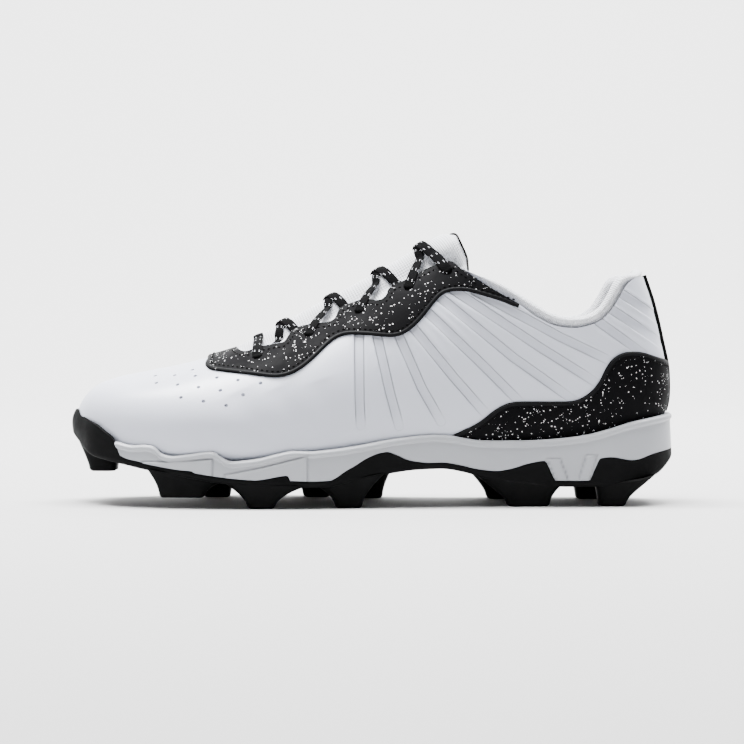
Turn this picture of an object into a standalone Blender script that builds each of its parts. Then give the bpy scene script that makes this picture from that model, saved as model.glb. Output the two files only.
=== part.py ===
"""A left baseball cleat, empty and unlaced at its ends, standing on its studs.

Metres, +Z up. The toe points to -X, the heel to +X. The lateral side is -Y and the medial side is +Y.
The ground is Z = 0 and the origin lies under the middle of the shoe.
"""

import math

import bmesh
import bpy
import numpy as np
from mathutils import Vector
from mathutils.bvhtree import BVHTree

# Driving sizes of the whole shoe
LENGTH = 0.300
BALL_WIDTH = 0.104
HEEL_WIDTH = 0.072
UPPER_HEIGHT = 0.100
STUD_LENGTH = 0.011
SOLE_THICKNESS = 0.0075
CUP_HEIGHT = 0.010
TOE_SPRING = 0.016
HEEL_LIFT = 0.010

# Thicknesses and clearances
CLEARANCE = 0.0003
WELD = 0.000004
FLAT_ANGLE = math.radians(0.3)
UPPER_WALL = 0.0018
OVERLAY_THICKNESS = 0.0009
STRIP_THICKNESS = 0.0007
STRIP_WIDTH = 0.005
STRIP_FROM = 0.9
INSOLE_THICKNESS = 0.004
LASTING_MARGIN = 0.011
RUBBER_WALL = 0.0025
PLATE_THICKNESS = 0.0020
RUBBER_STEP = 0.0009
WALL_LEAN = 0.05
LEDGE_OUT = 0.0009
LEDGE_HEIGHT = 0.0035
BOTTOM_ROUND = 0.0022

# Collar, tongue and laces
COLLAR_PAD = 0.0050
COLLAR_DEPTH = 0.020
COLLAR_ROLL = 0.0042
COLLAR_SHARES = (1.0, 0.6, 0.25)
COLLAR_TAPER = 0.55
COLLAR_CLEARANCE = 0.0007
TONGUE_PAD = 0.0050
TONGUE_EDGE = 0.0016
TONGUE_HALF_WIDTH = 0.033
TONGUE_SHARES = (0.0, 0.18, 0.29, 0.50, 0.76, 1.0)
TONGUE_START = 5.8
TONGUE_END = 12.05
TONGUE_WRAP = 0.75
# Round of the collar's roll. Columns: share of its rise, share of its depth
COLLAR_ROUND = (
    (0.6, -0.02),
    (1.0, 0.40),
    (0.6, 0.90),
)
COLLAR_FRONT = 0.64
COLLAR_BACK = 0.93
TONGUE_SWELL = 0.0035
TONGUE_THIN_END = 0.35
TONGUE_CROWN_POWER = 0.8
TONGUE_FREE = (0.56, 0.82)
TONGUE_TUCK = (0.60, 0.82)
TONGUE_WING = (0.45, 0.72)
TONGUE_CLEARANCE = 0.0008
EYELET_RADIUS = 0.0019
LACE_WIDTH = 0.0044
LACE_THICKNESS = 0.0028

# Fineness of the faceted solids
FORM_STATIONS = 26
TOE_FINENESS = 1.12
FORM_POINTS = 28
SOLE_STATIONS = 42
COLLAR_STATIONS = 26
TONGUE_STATIONS = 12
LACE_POINTS = 7
LACE_SIDES = 6
EYELET_SIDES = 6
COUNTER_STEPS = 18

SOLE_STACK = STUD_LENGTH + SOLE_THICKNESS
LATERAL = -1
MEDIAL = 1

# Sections of the last. Each runs from a front or top point to a back or bottom point of the middle plane.
# Columns: front_along, front_height, back_along, back_height, spring, lift,
#          lateral, medial, widest, crown_power, base_power, swing
# Along is a share of LENGTH from the toe, heights of UPPER_HEIGHT, widths of BALL_WIDTH or HEEL_WIDTH.
BALL_SECTIONS = (
    (0.009, 0.095, 0.009, 0.095, 1.00, 0.00, 0.000, 0.000, 0.50, 2.0, 2.2, 0.043),
    (0.018, 0.195, 0.017, 0.034, 0.85, 0.00, 0.130, 0.144, 0.48, 2.0, 2.4, 0.040),
    (0.042, 0.302, 0.042, 0.010, 0.62, 0.00, 0.240, 0.260, 0.42, 2.0, 3.0, 0.030),
    (0.080, 0.376, 0.080, 0.000, 0.42, 0.00, 0.332, 0.341, 0.38, 2.1, 3.6, 0.020),
    (0.133, 0.437, 0.133, 0.000, 0.24, 0.00, 0.413, 0.399, 0.36, 2.1, 4.0, 0.010),
    (0.193, 0.497, 0.193, 0.000, 0.10, 0.00, 0.466, 0.438, 0.34, 2.1, 4.0, 0.000),
    (0.257, 0.562, 0.257, 0.000, 0.02, 0.00, 0.490, 0.457, 0.33, 2.0, 4.0, 0.000),
    (0.320, 0.628, 0.320, 0.000, 0.00, 0.00, 0.495, 0.457, 0.31, 2.0, 4.0, 0.000),
    (0.387, 0.710, 0.387, 0.000, 0.00, 0.08, 0.476, 0.428, 0.29, 2.0, 4.0, 0.000),
    (0.457, 0.791, 0.457, 0.000, 0.00, 0.27, 0.438, 0.385, 0.28, 2.0, 4.0, 0.000),
    (0.527, 0.880, 0.540, 0.000, 0.00, 0.50, 0.399, 0.351, 0.27, 2.1, 4.0, 0.000),
    (0.587, 0.963, 0.633, 0.000, 0.00, 0.72, 0.364, 0.330, 0.27, 2.2, 4.0, 0.000),
)
HEEL_SECTIONS = (
    (0.623, 1.027, 0.733, 0.000, 0.00, 0.88, 0.497, 0.472, 0.28, 2.2, 4.0, 0.000),
    (0.647, 1.063, 0.833, 0.000, 0.00, 0.97, 0.486, 0.475, 0.30, 2.2, 3.6, 0.000),
    (0.663, 1.085, 0.927, 0.023, 0.00, 1.00, 0.475, 0.469, 0.33, 2.2, 2.9, 0.000),
    (0.677, 1.101, 0.982, 0.160, 0.00, 1.00, 0.461, 0.456, 0.36, 2.2, 2.4, 0.000),
    (0.688, 1.111, 0.990, 0.350, 0.00, 1.00, 0.444, 0.439, 0.38, 2.2, 2.3, 0.000),
    (0.700, 1.118, 0.979, 0.535, 0.00, 1.00, 0.431, 0.425, 0.38, 2.2, 2.2, 0.000),
    (0.712, 1.123, 0.965, 0.710, 0.00, 1.00, 0.424, 0.417, 0.38, 2.2, 2.2, 0.000),
    (0.723, 1.127, 0.948, 0.865, 0.00, 1.00, 0.424, 0.417, 0.38, 2.2, 2.2, 0.000),
    (0.737, 1.130, 0.933, 1.025, 0.00, 1.00, 0.424, 0.417, 0.38, 2.2, 2.2, 0.000),
)

# Rise of the last's bottom. Columns: along, spring as a share of TOE_SPRING, lift as a share of HEEL_LIFT
BASE_RISE = (
    (0.000, 1.00, 0.00),
    (0.018, 0.85, 0.00),
    (0.042, 0.62, 0.00),
    (0.080, 0.42, 0.00),
    (0.133, 0.24, 0.00),
    (0.193, 0.10, 0.00),
    (0.257, 0.02, 0.00),
    (0.320, 0.00, 0.00),
    (0.387, 0.00, 0.08),
    (0.457, 0.00, 0.27),
    (0.540, 0.00, 0.50),
    (0.633, 0.00, 0.72),
    (0.733, 0.00, 0.88),
    (0.833, 0.00, 0.97),
    (0.927, 0.00, 1.00),
    (1.000, 0.00, 1.00),
)

# Plan of the sole. Columns: along, lateral and medial reach as shares of BALL_WIDTH or HEEL_WIDTH
BALL_PLAN = (
    (0.000, -0.038, 0.038),
    (0.012, 0.087, 0.163),
    (0.043, 0.255, 0.303),
    (0.097, 0.370, 0.394),
    (0.167, 0.452, 0.452),
    (0.247, 0.498, 0.476),
    (0.333, 0.510, 0.474),
    (0.427, 0.481, 0.428),
    (0.527, 0.423, 0.363),
)
HEEL_PLAN = (
    (0.627, 0.539, 0.472),
    (0.727, 0.511, 0.472),
    (0.820, 0.506, 0.486),
    (0.897, 0.490, 0.478),
    (0.953, 0.400, 0.388),
    (0.988, 0.225, 0.218),
    (0.999, 0.000, 0.000),
)

# Top edge of the midsole over the last's bottom. Columns: along, height as a share of CUP_HEIGHT
BITE_LINE = (
    (0.000, 0.20),
    (0.060, 0.30),
    (0.074, 0.60),
    (0.088, 0.70),
    (0.103, 0.68),
    (0.140, 0.86),
    (0.149, 0.80),
    (0.160, 0.55),
    (0.173, 0.49),
    (0.202, 0.65),
    (0.243, 0.88),
    (0.254, 0.72),
    (0.264, 0.53),
    (0.274, 0.44),
    (0.285, 0.47),
    (0.317, 0.60),
    (0.347, 0.80),
    (0.374, 0.91),
    (0.407, 0.82),
    (0.440, 0.82),
    (0.481, 0.88),
    (0.522, 0.99),
    (0.550, 1.04),
    (0.588, 1.06),
    (0.628, 0.94),
    (0.651, 0.76),
    (0.680, 0.60),
    (0.718, 0.53),
    (0.765, 0.49),
    (0.815, 0.56),
    (0.852, 0.70),
    (0.889, 0.97),
    (0.927, 1.29),
    (1.000, 1.66),
)

# Top edge of the black rubber over the last's bottom. Columns: along, height as a share of CUP_HEIGHT
RUBBER_LINE = (
    (0.000, 1.20),
    (0.010, 1.29),
    (0.021, 1.17),
    (0.042, 1.19),
    (0.060, 1.02),
    (0.077, 0.78),
    (0.085, 0.40),
    (0.091, 0.04),
    (0.103, -0.04),
    (0.123, -0.06),
    (0.144, -0.17),
    (0.210, -0.16),
    (0.219, -0.38),
    (0.243, -0.41),
    (0.274, -0.54),
    (0.319, -0.45),
    (0.364, -0.28),
    (0.370, -0.60),
    (0.390, -0.66),
    (0.423, -0.76),
    (0.440, -0.63),
    (0.456, -0.35),
    (0.471, -0.14),
    (0.491, 0.17),
    (0.512, 0.37),
    (0.524, 0.40),
    (0.539, 0.23),
    (0.559, -0.09),
    (0.578, -0.25),
    (0.624, -0.47),
    (0.653, -0.66),
    (0.681, -0.86),
    (0.705, -0.95),
    (0.727, -0.87),
    (0.755, -0.65),
    (0.781, -0.55),
    (0.793, -1.22),
    (0.800, -1.60),
    (0.852, -1.62),
    (0.862, -1.04),
    (0.872, -0.49),
    (0.889, -0.44),
    (0.927, -0.60),
    (0.964, -0.30),
    (1.000, -0.10),
)

# Depth of the plate's underside below the last's bottom. Columns: along, share of SOLE_THICKNESS
UNDERSIDE = (
    (0.000, 0.07),
    (0.013, 0.30),
    (0.033, 0.59),
    (0.067, 0.50),
    (0.100, 0.47),
    (0.133, 0.52),
    (0.183, 0.60),
    (0.233, 0.78),
    (0.283, 0.95),
    (0.367, 1.12),
    (0.433, 1.32),
    (0.473, 1.10),
    (0.517, 0.91),
    (0.567, 0.80),
    (0.613, 0.87),
    (0.650, 1.20),
    (0.683, 1.67),
    (0.717, 2.05),
    (0.767, 2.35),
    (0.850, 2.47),
    (0.917, 2.30),
    (0.967, 1.80),
    (1.000, 0.75),
)

# Throat and collar line seen from the side. Columns: along, height over the last's bottom
# as a share of UPPER_HEIGHT
TOPLINE = (
    (0.270, 0.595),
    (0.290, 0.572),
    (0.315, 0.596),
    (0.341, 0.611),
    (0.355, 0.617),
    (0.363, 0.648),
    (0.372, 0.679),
    (0.395, 0.696),
    (0.427, 0.700),
    (0.439, 0.715),
    (0.448, 0.763),
    (0.471, 0.787),
    (0.490, 0.795),
    (0.511, 0.782),
    (0.523, 0.803),
    (0.528, 0.835),
    (0.546, 0.861),
    (0.566, 0.885),
    (0.596, 0.925),
    (0.620, 0.945),
    (0.632, 0.942),
    (0.647, 0.902),
    (0.679, 0.833),
    (0.710, 0.771),
    (0.742, 0.711),
    (0.763, 0.660),
    (0.792, 0.612),
    (0.813, 0.596),
    (0.834, 0.592),
    (0.855, 0.604),
    (0.872, 0.626),
    (0.888, 0.669),
    (0.901, 0.725),
    (0.915, 0.794),
    (0.928, 0.828),
    (0.945, 0.840),
    (1.020, 0.845),
)

# Lower edge of the eyestay seen from the side, in the columns of TOPLINE
EYESTAY_EDGE = (
    (0.232, 0.530),
    (0.229, 0.505),
    (0.236, 0.488),
    (0.250, 0.483),
    (0.282, 0.476),
    (0.319, 0.465),
    (0.344, 0.456),
    (0.365, 0.464),
    (0.386, 0.494),
    (0.407, 0.543),
    (0.427, 0.597),
    (0.442, 0.625),
    (0.459, 0.636),
    (0.490, 0.626),
    (0.531, 0.605),
    (0.548, 0.611),
    (0.560, 0.630),
    (0.573, 0.661),
    (0.589, 0.713),
    (0.602, 0.760),
    (0.614, 0.792),
    (0.631, 0.805),
    (0.656, 0.799),
    (0.677, 0.779),
    (0.708, 0.746),
    (0.739, 0.706),
)

# Upper edge of the heel counter seen from the side, in the columns of TOPLINE
COUNTER_EDGE = (
    (0.629, 0.083),
    (0.648, 0.105),
    (0.666, 0.127),
    (0.681, 0.153),
    (0.696, 0.187),
    (0.711, 0.214),
    (0.726, 0.229),
    (0.745, 0.231),
    (0.792, 0.226),
    (0.825, 0.226),
    (0.843, 0.242),
    (0.860, 0.278),
    (0.873, 0.327),
    (0.881, 0.376),
    (0.891, 0.423),
    (0.906, 0.454),
    (0.922, 0.463),
    (0.943, 0.458),
    (0.970, 0.434),
    (1.020, 0.395),
)

# Eyelets seen from the side, front to back, in the columns of TOPLINE
EYELETS = (
    (0.314, 0.537),
    (0.397, 0.637),
    (0.479, 0.727),
    (0.560, 0.822),
    (0.626, 0.888),
)

# Visible part of each lace run, from one eyelet to the next on the other side. The first comes from under
# the film and the last ends in the top eyelets. Columns: first, last
LACE_REACH = (
    (0.20, 0.80),
    (0.00, 0.80),
    (0.00, 0.80),
    (0.00, 1.00),
)
LACE_LOOK = 0.03

# Studs. Columns: along and across at the foot, height of the foot as a share of STUD_LENGTH,
# foot length and width, base length and width, all in shares of BALL_WIDTH, and the base's shift along
STUDS = {
    "toe": (0.052, 0.030, 1.42, 0.120, 0.150, 0.200, 0.230, -0.020),
    "lateral_front": (0.192, -0.360, 0.45, 0.200, 0.110, 0.370, 0.190, 0.020),
    "medial_front": (0.235, 0.370, 0.00, 0.120, 0.110, 0.240, 0.180, -0.010),
    "lateral_ball": (0.321, -0.420, 0.00, 0.115, 0.110, 0.400, 0.180, 0.020),
    "medial_ball": (0.405, 0.370, 0.00, 0.120, 0.110, 0.260, 0.180, 0.010),
    "lateral_waist": (0.462, -0.360, 0.00, 0.115, 0.110, 0.330, 0.180, 0.010),
    "medial_waist": (0.497, 0.300, 0.00, 0.110, 0.100, 0.230, 0.160, 0.010),
    "lateral_heel_front": (0.755, -0.265, 0.00, 0.190, 0.110, 0.420, 0.180, -0.050),
    "medial_heel_front": (0.722, 0.255, 0.00, 0.150, 0.110, 0.330, 0.180, -0.030),
    "lateral_heel_back": (0.892, -0.250, 0.00, 0.120, 0.110, 0.280, 0.180, 0.060),
    "medial_heel_back": (0.868, 0.250, 0.00, 0.120, 0.110, 0.260, 0.180, 0.040),
}
STUD_SIDES = 8
STUD_ROOT = 0.0008
STUD_WAIST = 0.69
STUD_WAIST_HEIGHT = 0.45
STUD_CORNER = 0.6
STUD_FOOT_ROUND = 0.0012


def clear_scene():
    for item in list(bpy.data.objects):
        bpy.data.objects.remove(item, do_unlink=True)


def along_to_x(along):
    return (along - 0.5) * LENGTH


def smooth_rows(rows, places):
    """Catmull-Rom through rows at whole numbers. The first and the last row only guide the ends."""
    padded = np.asarray(rows, dtype=float)
    places = np.clip(np.asarray(places, dtype=float), 0, len(padded) - 3)
    lower = np.minimum(places.astype(int), len(padded) - 4)
    part = (places - lower)[:, None]
    a, b, c, d = (padded[lower + step] for step in range(4))
    return b + 0.5 * part * (c - a + part * (2 * a - 5 * b + 4 * c - d + part * (3 * (b - c) + d - a)))


def smooth_curve(table, x, column=1):
    """Monotone cubic through a table whose first column rises."""
    table = np.asarray(table, dtype=float)
    knots = table[:, 0]
    values = table[:, column]
    gaps = np.diff(knots)
    slopes = np.diff(values) / gaps
    inner = np.where(slopes[1:] * slopes[:-1] > 0,
                     2 * slopes[1:] * slopes[:-1] / (slopes[1:] + slopes[:-1] + 1e-12), 0.0)
    tangents = np.concatenate([[slopes[0]], inner, [slopes[-1]]])
    x = np.clip(np.asarray(x, dtype=float), knots[0], knots[-1])
    place = np.clip(np.searchsorted(knots, x, side="right") - 1, 0, len(gaps) - 1)
    part = (x - knots[place]) / gaps[place]
    run = gaps[place]
    return (values[place] * (1 + 2 * part) * (1 - part) ** 2
            + tangents[place] * run * part * (1 - part) ** 2
            + values[place + 1] * part ** 2 * (3 - 2 * part)
            + tangents[place + 1] * run * part ** 2 * (part - 1))


def ramp(value, start, end):
    """Nought before the start, one after the end, even between them."""
    return min(max((value - start) / (end - start), 0.0), 1.0)


def blend(first, last, part):
    return first + (last - first) * part


def base_height(along):
    """Height of the last's bottom over the ground."""
    spring = smooth_curve(BASE_RISE, along, 1) * TOE_SPRING
    lift = smooth_curve(BASE_RISE, along, 2) * HEEL_LIFT
    return SOLE_STACK + spring + lift


def section_rows():
    """The section tables in metres, one row a section."""
    rows = []
    for table, width in ((BALL_SECTIONS, BALL_WIDTH), (HEEL_SECTIONS, HEEL_WIDTH)):
        for (front_along, front_height, back_along, back_height, spring, lift,
             lateral, medial, widest, crown_power, base_power, swing) in table:
            rise = SOLE_STACK + spring * TOE_SPRING + lift * HEEL_LIFT
            rows.append((along_to_x(front_along), rise + front_height * UPPER_HEIGHT,
                         along_to_x(back_along), rise + back_height * UPPER_HEIGHT,
                         lateral * width, medial * width, widest, crown_power, base_power, swing * width))
    front_x, front_z, back_x, back_z, lateral, medial, *rest = rows[1]
    before = (back_x, back_z, front_x, front_z, -lateral, -medial, *rest)
    after = 2 * np.array(rows[-1]) - np.array(rows[-2])
    return np.vstack([before, rows, after])


LAST_ROWS = section_rows()
LAST_END = len(LAST_ROWS) - 3
TOE_TIP = LAST_ROWS[1]
ARC_SAMPLES = 96
SIDE_SEARCH = ((0.3, 0.03), (0.03, 0.004))


def half_section(row, side):
    """Dense half loop of one section, from its front point to its back point."""
    front_x, front_z, back_x, back_z, lateral, medial, widest, crown_power, base_power, swing = row
    width = lateral if side == LATERAL else medial
    angle = np.linspace(0, math.pi, ARC_SAMPLES)
    upper = angle <= math.pi / 2
    power = np.where(upper, crown_power, base_power)
    reach = np.where(upper, 1 - widest, widest)
    cosine = np.cos(angle)
    share = widest + reach * np.sign(cosine) * np.abs(cosine) ** (2 / power)
    across = width * np.abs(np.sin(angle)) ** (2 / power)
    return np.column_stack([back_x + (front_x - back_x) * share,
                            swing + side * across,
                            back_z + (front_z - back_z) * share])


def last_points(station, shares, side):
    """Points of the last at one station, by share of arc from the front point."""
    row = smooth_rows(LAST_ROWS, [station])[0]
    dense = half_section(row, side)
    steps = np.linalg.norm(np.diff(dense, axis=0), axis=1)
    arc = np.concatenate([[0], np.cumsum(steps)])
    wanted = np.abs(np.asarray(shares)) * arc[-1]
    return np.column_stack([np.interp(wanted, arc, dense[:, axis]) for axis in range(3)])


def loop_shares(count):
    """Signed shares of arc once round a section: front point, lateral side, back point, medial side."""
    half = count // 2
    down = [-step / half for step in range(half + 1)]
    up = [step / half for step in range(half - 1, 0, -1)]
    return np.array(down + up)


def last_ring(station, shares):
    """A ring or an arc of the last, by signed shares: lateral below nought, medial above."""
    lateral = last_points(station, shares, LATERAL)
    medial = last_points(station, shares, MEDIAL)
    return np.where((shares <= 0)[:, None], lateral, medial)


def last_ring_with_normals(station, shares):
    """Points and outward normals of the last along one ring."""
    step_station = 0.02
    step_share = 0.004
    here = last_ring(station, shares)
    ahead = last_ring(min(station + step_station, LAST_END), shares)
    behind = last_ring(max(station - step_station, step_station), shares)
    along = ahead - behind
    round_one = last_ring_shifted(station, shares, step_share)
    round_two = last_ring_shifted(station, shares, -step_share)
    across = round_one - round_two
    normals = np.cross(along, across)
    normals /= np.linalg.norm(normals, axis=1)[:, None] + 1e-12
    row = smooth_rows(LAST_ROWS, [station])[0]
    middle = np.array([(row[0] + row[2]) / 2, row[9], (row[1] + row[3]) / 2])
    flip = np.sum(normals * (here - middle), axis=1) < 0
    normals[flip] *= -1
    return here, normals


def last_ring_shifted(station, shares, shift):
    """The ring with every share moved round the loop, past the front and back points too."""
    moved = shares + shift
    moved = np.where(moved > 1, moved - 2, moved)
    moved = np.where(moved < -1, moved + 2, moved)
    return last_ring(station, moved)


def surface_point(station, share, offset=0.0):
    """One point of the last, moved out along its normal."""
    points, normals = last_ring_with_normals(station, np.array([share]))
    return points[0] + normals[0] * offset


def side_place(along, height, side):
    """Station and share of the last's surface point that shows at a place of the side view."""
    x = along_to_x(along)
    z = base_height(along) + height * UPPER_HEIGHT
    station, share = LAST_END / 2, 0.5
    for station_reach, share_reach in ((LAST_END / 2, 0.5), *SIDE_SEARCH):
        best = None
        shares = np.clip(np.linspace(share - share_reach, share + share_reach, 90), 0.01, 0.99)
        for place in np.linspace(station - station_reach, station + station_reach, 60):
            ring = last_points(np.clip(place, 1, LAST_END), shares, side)
            distance = np.hypot(ring[:, 0] - x, ring[:, 2] - z)
            nearest = int(np.argmin(distance))
            if best is None or distance[nearest] < best[0]:
                best = (distance[nearest], place, shares[nearest])
        station, share = best[1], best[2]
    return station, share * side


def tidy_mesh(mesh, face_out=False):
    """Weld what touches, drop slivers, join flat faces and split them into triangles."""
    work = bmesh.new()
    work.from_mesh(mesh)
    bmesh.ops.remove_doubles(work, verts=work.verts, dist=WELD)
    bmesh.ops.dissolve_degenerate(work, dist=WELD, edges=work.edges)
    if face_out:
        bmesh.ops.recalc_face_normals(work, faces=work.faces)
    else:
        bmesh.ops.dissolve_limit(work, angle_limit=FLAT_ANGLE, verts=work.verts, edges=work.edges)
    bmesh.ops.triangulate(work, faces=work.faces)
    work.to_mesh(mesh)
    work.free()
    mesh.update()


def mesh_object(name, points, faces):
    mesh = bpy.data.meshes.new(name)
    mesh.from_pydata([tuple(float(value) for value in point) for point in points], [], faces)
    tidy_mesh(mesh, face_out=True)
    item = bpy.data.objects.new(name, mesh)
    bpy.context.scene.collection.objects.link(item)
    return item


def ring_faces(rings, count, closed=True):
    faces = []
    last = count if closed else count - 1
    for ring in range(rings - 1):
        for place in range(last):
            here = ring * count + place
            beside = ring * count + (place + 1) % count
            faces.append((here, beside, beside + count, here + count))
    return faces


def form(name, offset):
    """The closed last, grown or shrunk by an offset, from the toe tip to over the ankle."""
    shares = loop_shares(FORM_POINTS)
    stations = np.linspace(0, 1, FORM_STATIONS) ** TOE_FINENESS * LAST_END
    points = [np.array([TOE_TIP[0] - offset, TOE_TIP[9], TOE_TIP[1]])]
    for station in stations[1:]:
        ring, normals = last_ring_with_normals(station, shares)
        points.extend(ring + normals * offset)
    count = len(shares)
    top = len(points) - count
    cap_rise = np.array([0.0, 0.0, max(offset, -UPPER_WALL)])
    for place in range(count):
        points[top + place] = points[top + place] + cap_rise
    rings = FORM_STATIONS - 1
    faces = [tuple(corner + 1 for corner in face) for face in ring_faces(rings, count)]
    faces += [(0, 1 + place, 1 + (place + 1) % count) for place in range(count)]
    faces.append(tuple(range(top, top + count)))
    return mesh_object(name, points, faces)


def boolean(item, tool, operation):
    """Cut, join or keep what two solids share, then drop the tool."""
    modifier = item.modifiers.new(operation.lower(), "BOOLEAN")
    modifier.operation = operation
    modifier.solver = "EXACT"
    modifier.object = tool
    bpy.context.view_layer.update()
    evaluated = item.evaluated_get(bpy.context.evaluated_depsgraph_get())
    mesh = bpy.data.meshes.new_from_object(evaluated)
    item.modifiers.clear()
    tidy_mesh(mesh)
    item.data = mesh
    bpy.data.objects.remove(tool, do_unlink=True)
    return item


def prism(name, outline, half_width, middle=0.0):
    """A side view outline of x and z, drawn out along Y."""
    count = len(outline)
    points = [(x, middle - half_width, z) for x, z in outline]
    points += [(x, middle + half_width, z) for x, z in outline]
    faces = [(place, (place + 1) % count, (place + 1) % count + count, place + count) for place in range(count)]
    faces.append(tuple(range(count)))
    faces.append(tuple(range(2 * count - 1, count - 1, -1)))
    return mesh_object(name, points, faces)


def side_outline(table):
    """A side view table in metres."""
    return [(along_to_x(along), float(base_height(along)) + height * UPPER_HEIGHT) for along, height in table]


SKY = 3 * UPPER_HEIGHT
FAR = LENGTH


def above(name, table):
    """Everything over a side view line."""
    line = side_outline(table)
    return prism(name, line + [(line[-1][0], SKY), (line[0][0], SKY)], FAR)


def lift_table(table, rise):
    """A side view table moved up by a length."""
    return [(along, height + rise / UPPER_HEIGHT) for along, height in table]


def bite_height(along):
    return base_height(along) + smooth_curve(BITE_LINE, along) * CUP_HEIGHT


def rubber_height(along):
    return base_height(along) + smooth_curve(RUBBER_LINE, along) * CUP_HEIGHT


def underside_height(along):
    return base_height(along) - smooth_curve(UNDERSIDE, along) * SOLE_THICKNESS


def plan_rows():
    """The sole's plan in metres, as along, middle line and half width, with a guide row at each end."""
    rows = []
    for table, width in ((BALL_PLAN, BALL_WIDTH), (HEEL_PLAN, HEEL_WIDTH)):
        rows += [(along, (medial - lateral) / 2 * width, (medial + lateral) / 2 * width)
                 for along, lateral, medial in table]
    before = (rows[1][0], rows[1][1], -rows[1][2])
    after = (rows[-2][0], rows[-2][1], -rows[-2][2])
    return [before] + rows + [after]


def sole_loop(inset):
    """Plan loop of the sole, moved inwards, as along, x and y: toe tip, lateral side, heel, medial side."""
    rows = plan_rows()
    places = np.linspace(0, 1, SOLE_STATIONS) * (len(rows) - 3)
    stations = smooth_rows(rows, places)
    middle = stations[:, 1]
    half = stations[:, 2]
    x = along_to_x(stations[:, 0])
    lateral = np.column_stack([x, middle - half])
    medial = np.column_stack([x, middle + half])
    loop = np.vstack([lateral, medial[-2:0:-1]])
    tangent = np.roll(loop, -1, axis=0) - np.roll(loop, 1, axis=0)
    normal = np.column_stack([-tangent[:, 1], tangent[:, 0]])
    normal /= np.linalg.norm(normal, axis=1)[:, None]
    moved = loop + normal * np.asarray(inset).reshape(-1, 1)
    along = np.concatenate([stations[:, 0], stations[-2:0:-1, 0]])
    return along, moved


def ladder_cap(first, count):
    """Faces that close a plan loop from one side to the other."""
    half = count // 2
    faces = [(first, first + 1, first + count - 1)]
    for step in range(1, half - 1):
        faces.append((first + step, first + step + 1, first + count - step - 1, first + count - step))
    faces.append((first + half - 1, first + half, first + half + 1))
    return faces


def plan_solid(name, levels):
    """A closed solid from plan loops, each given by its insets and its heights, bottom to top."""
    points = []
    for insets, heights in levels:
        _, loop = sole_loop(insets)
        points += [(x, y, z) for (x, y), z in zip(loop, heights)]
    count = len(points) // len(levels)
    faces = ring_faces(len(levels), count)
    faces += ladder_cap(0, count)
    faces += ladder_cap(len(points) - count, count)
    return mesh_object(name, points, faces)


def wall_inset(along, height):
    """Lean of the sole's side wall, which draws in as it rises over the rubber's foot."""
    foot = underside_height(along) + BOTTOM_ROUND
    return np.maximum(height - foot, 0) * WALL_LEAN


def loop_along():
    return sole_loop(0.0)[0]


def rubber_top(along):
    """Top of the rubber at the wall, always a step over the plate."""
    return np.maximum(rubber_height(along), underside_height(along) + PLATE_THICKNESS + RUBBER_STEP)


def rubber_zone(name, grow):
    """Tray that the rubber fills: under the plate line inside, under the rubber line at the wall."""
    along = loop_along()
    bottom = underside_height(along) - 3 * SOLE_STACK
    wall_top = rubber_top(along) + grow
    floor = underside_height(along) + PLATE_THICKNESS + grow
    outside = -BOTTOM_ROUND * 3 + 0 * along
    inside = wall_inset(along, wall_top) + RUBBER_WALL + grow
    return plan_solid(name, [(outside, bottom), (outside, wall_top), (inside, wall_top), (inside, floor)])


def build_midsole():
    along = loop_along()
    bottom = underside_height(along)
    top = bite_height(along)
    ledge = np.maximum(top - LEDGE_HEIGHT, bottom + BOTTOM_ROUND * 1.2)
    neck = (ledge + top) / 2
    levels = [(wall_inset(along, bottom), bottom),
              (wall_inset(along, ledge), ledge),
              (wall_inset(along, neck) - LEDGE_OUT, neck),
              (wall_inset(along, top) - LEDGE_OUT / 2, top)]
    item = plan_solid("midsole", levels)
    boolean(item, rubber_zone("rubber_cut", CLEARANCE), "DIFFERENCE")
    boolean(item, form("last_cut", CLEARANCE), "DIFFERENCE")
    return item


def stud(name, along, across, foot_height, foot_length, foot_width, base_length, base_width, shift):
    """A tapered stud with a flat foot and rounded corners, whose root follows the plate."""
    foot_z = foot_height * STUD_LENGTH
    taper = STUD_FOOT_ROUND / BALL_WIDTH
    waist_length = blend(base_length, foot_length, STUD_WAIST)
    waist_width = blend(base_width, foot_width, STUD_WAIST)
    rings = ((1.0, 0.0, base_length, base_width, shift),
             (STUD_WAIST_HEIGHT, 0.0, waist_length, waist_width, shift * (1 - STUD_WAIST)),
             (0.0, STUD_FOOT_ROUND, foot_length + taper, foot_width + taper, 0.0),
             (0.0, 0.0, foot_length - taper, foot_width - taper, 0.0))
    points = []
    for share, rise, length, width, moved in rings:
        for side in range(STUD_SIDES):
            angle = 2 * math.pi * (side + 0.5) / STUD_SIDES
            cosine = math.cos(angle)
            sine = math.sin(angle)
            reach = length / 2 * math.copysign(abs(cosine) ** STUD_CORNER, cosine)
            x = along_to_x(along) + (moved + reach) * BALL_WIDTH
            y = (across + width / 2 * math.copysign(abs(sine) ** STUD_CORNER, sine)) * BALL_WIDTH
            root_z = float(underside_height(x / LENGTH + 0.5)) + STUD_ROOT
            points.append((x, y, foot_z + rise + (root_z - foot_z) * share))
    faces = ring_faces(len(rings), STUD_SIDES)
    faces.append(tuple(range(STUD_SIDES)))
    faces.append(tuple(range(len(points) - 1, len(points) - STUD_SIDES - 1, -1)))
    return mesh_object(name, points, faces)


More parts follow.
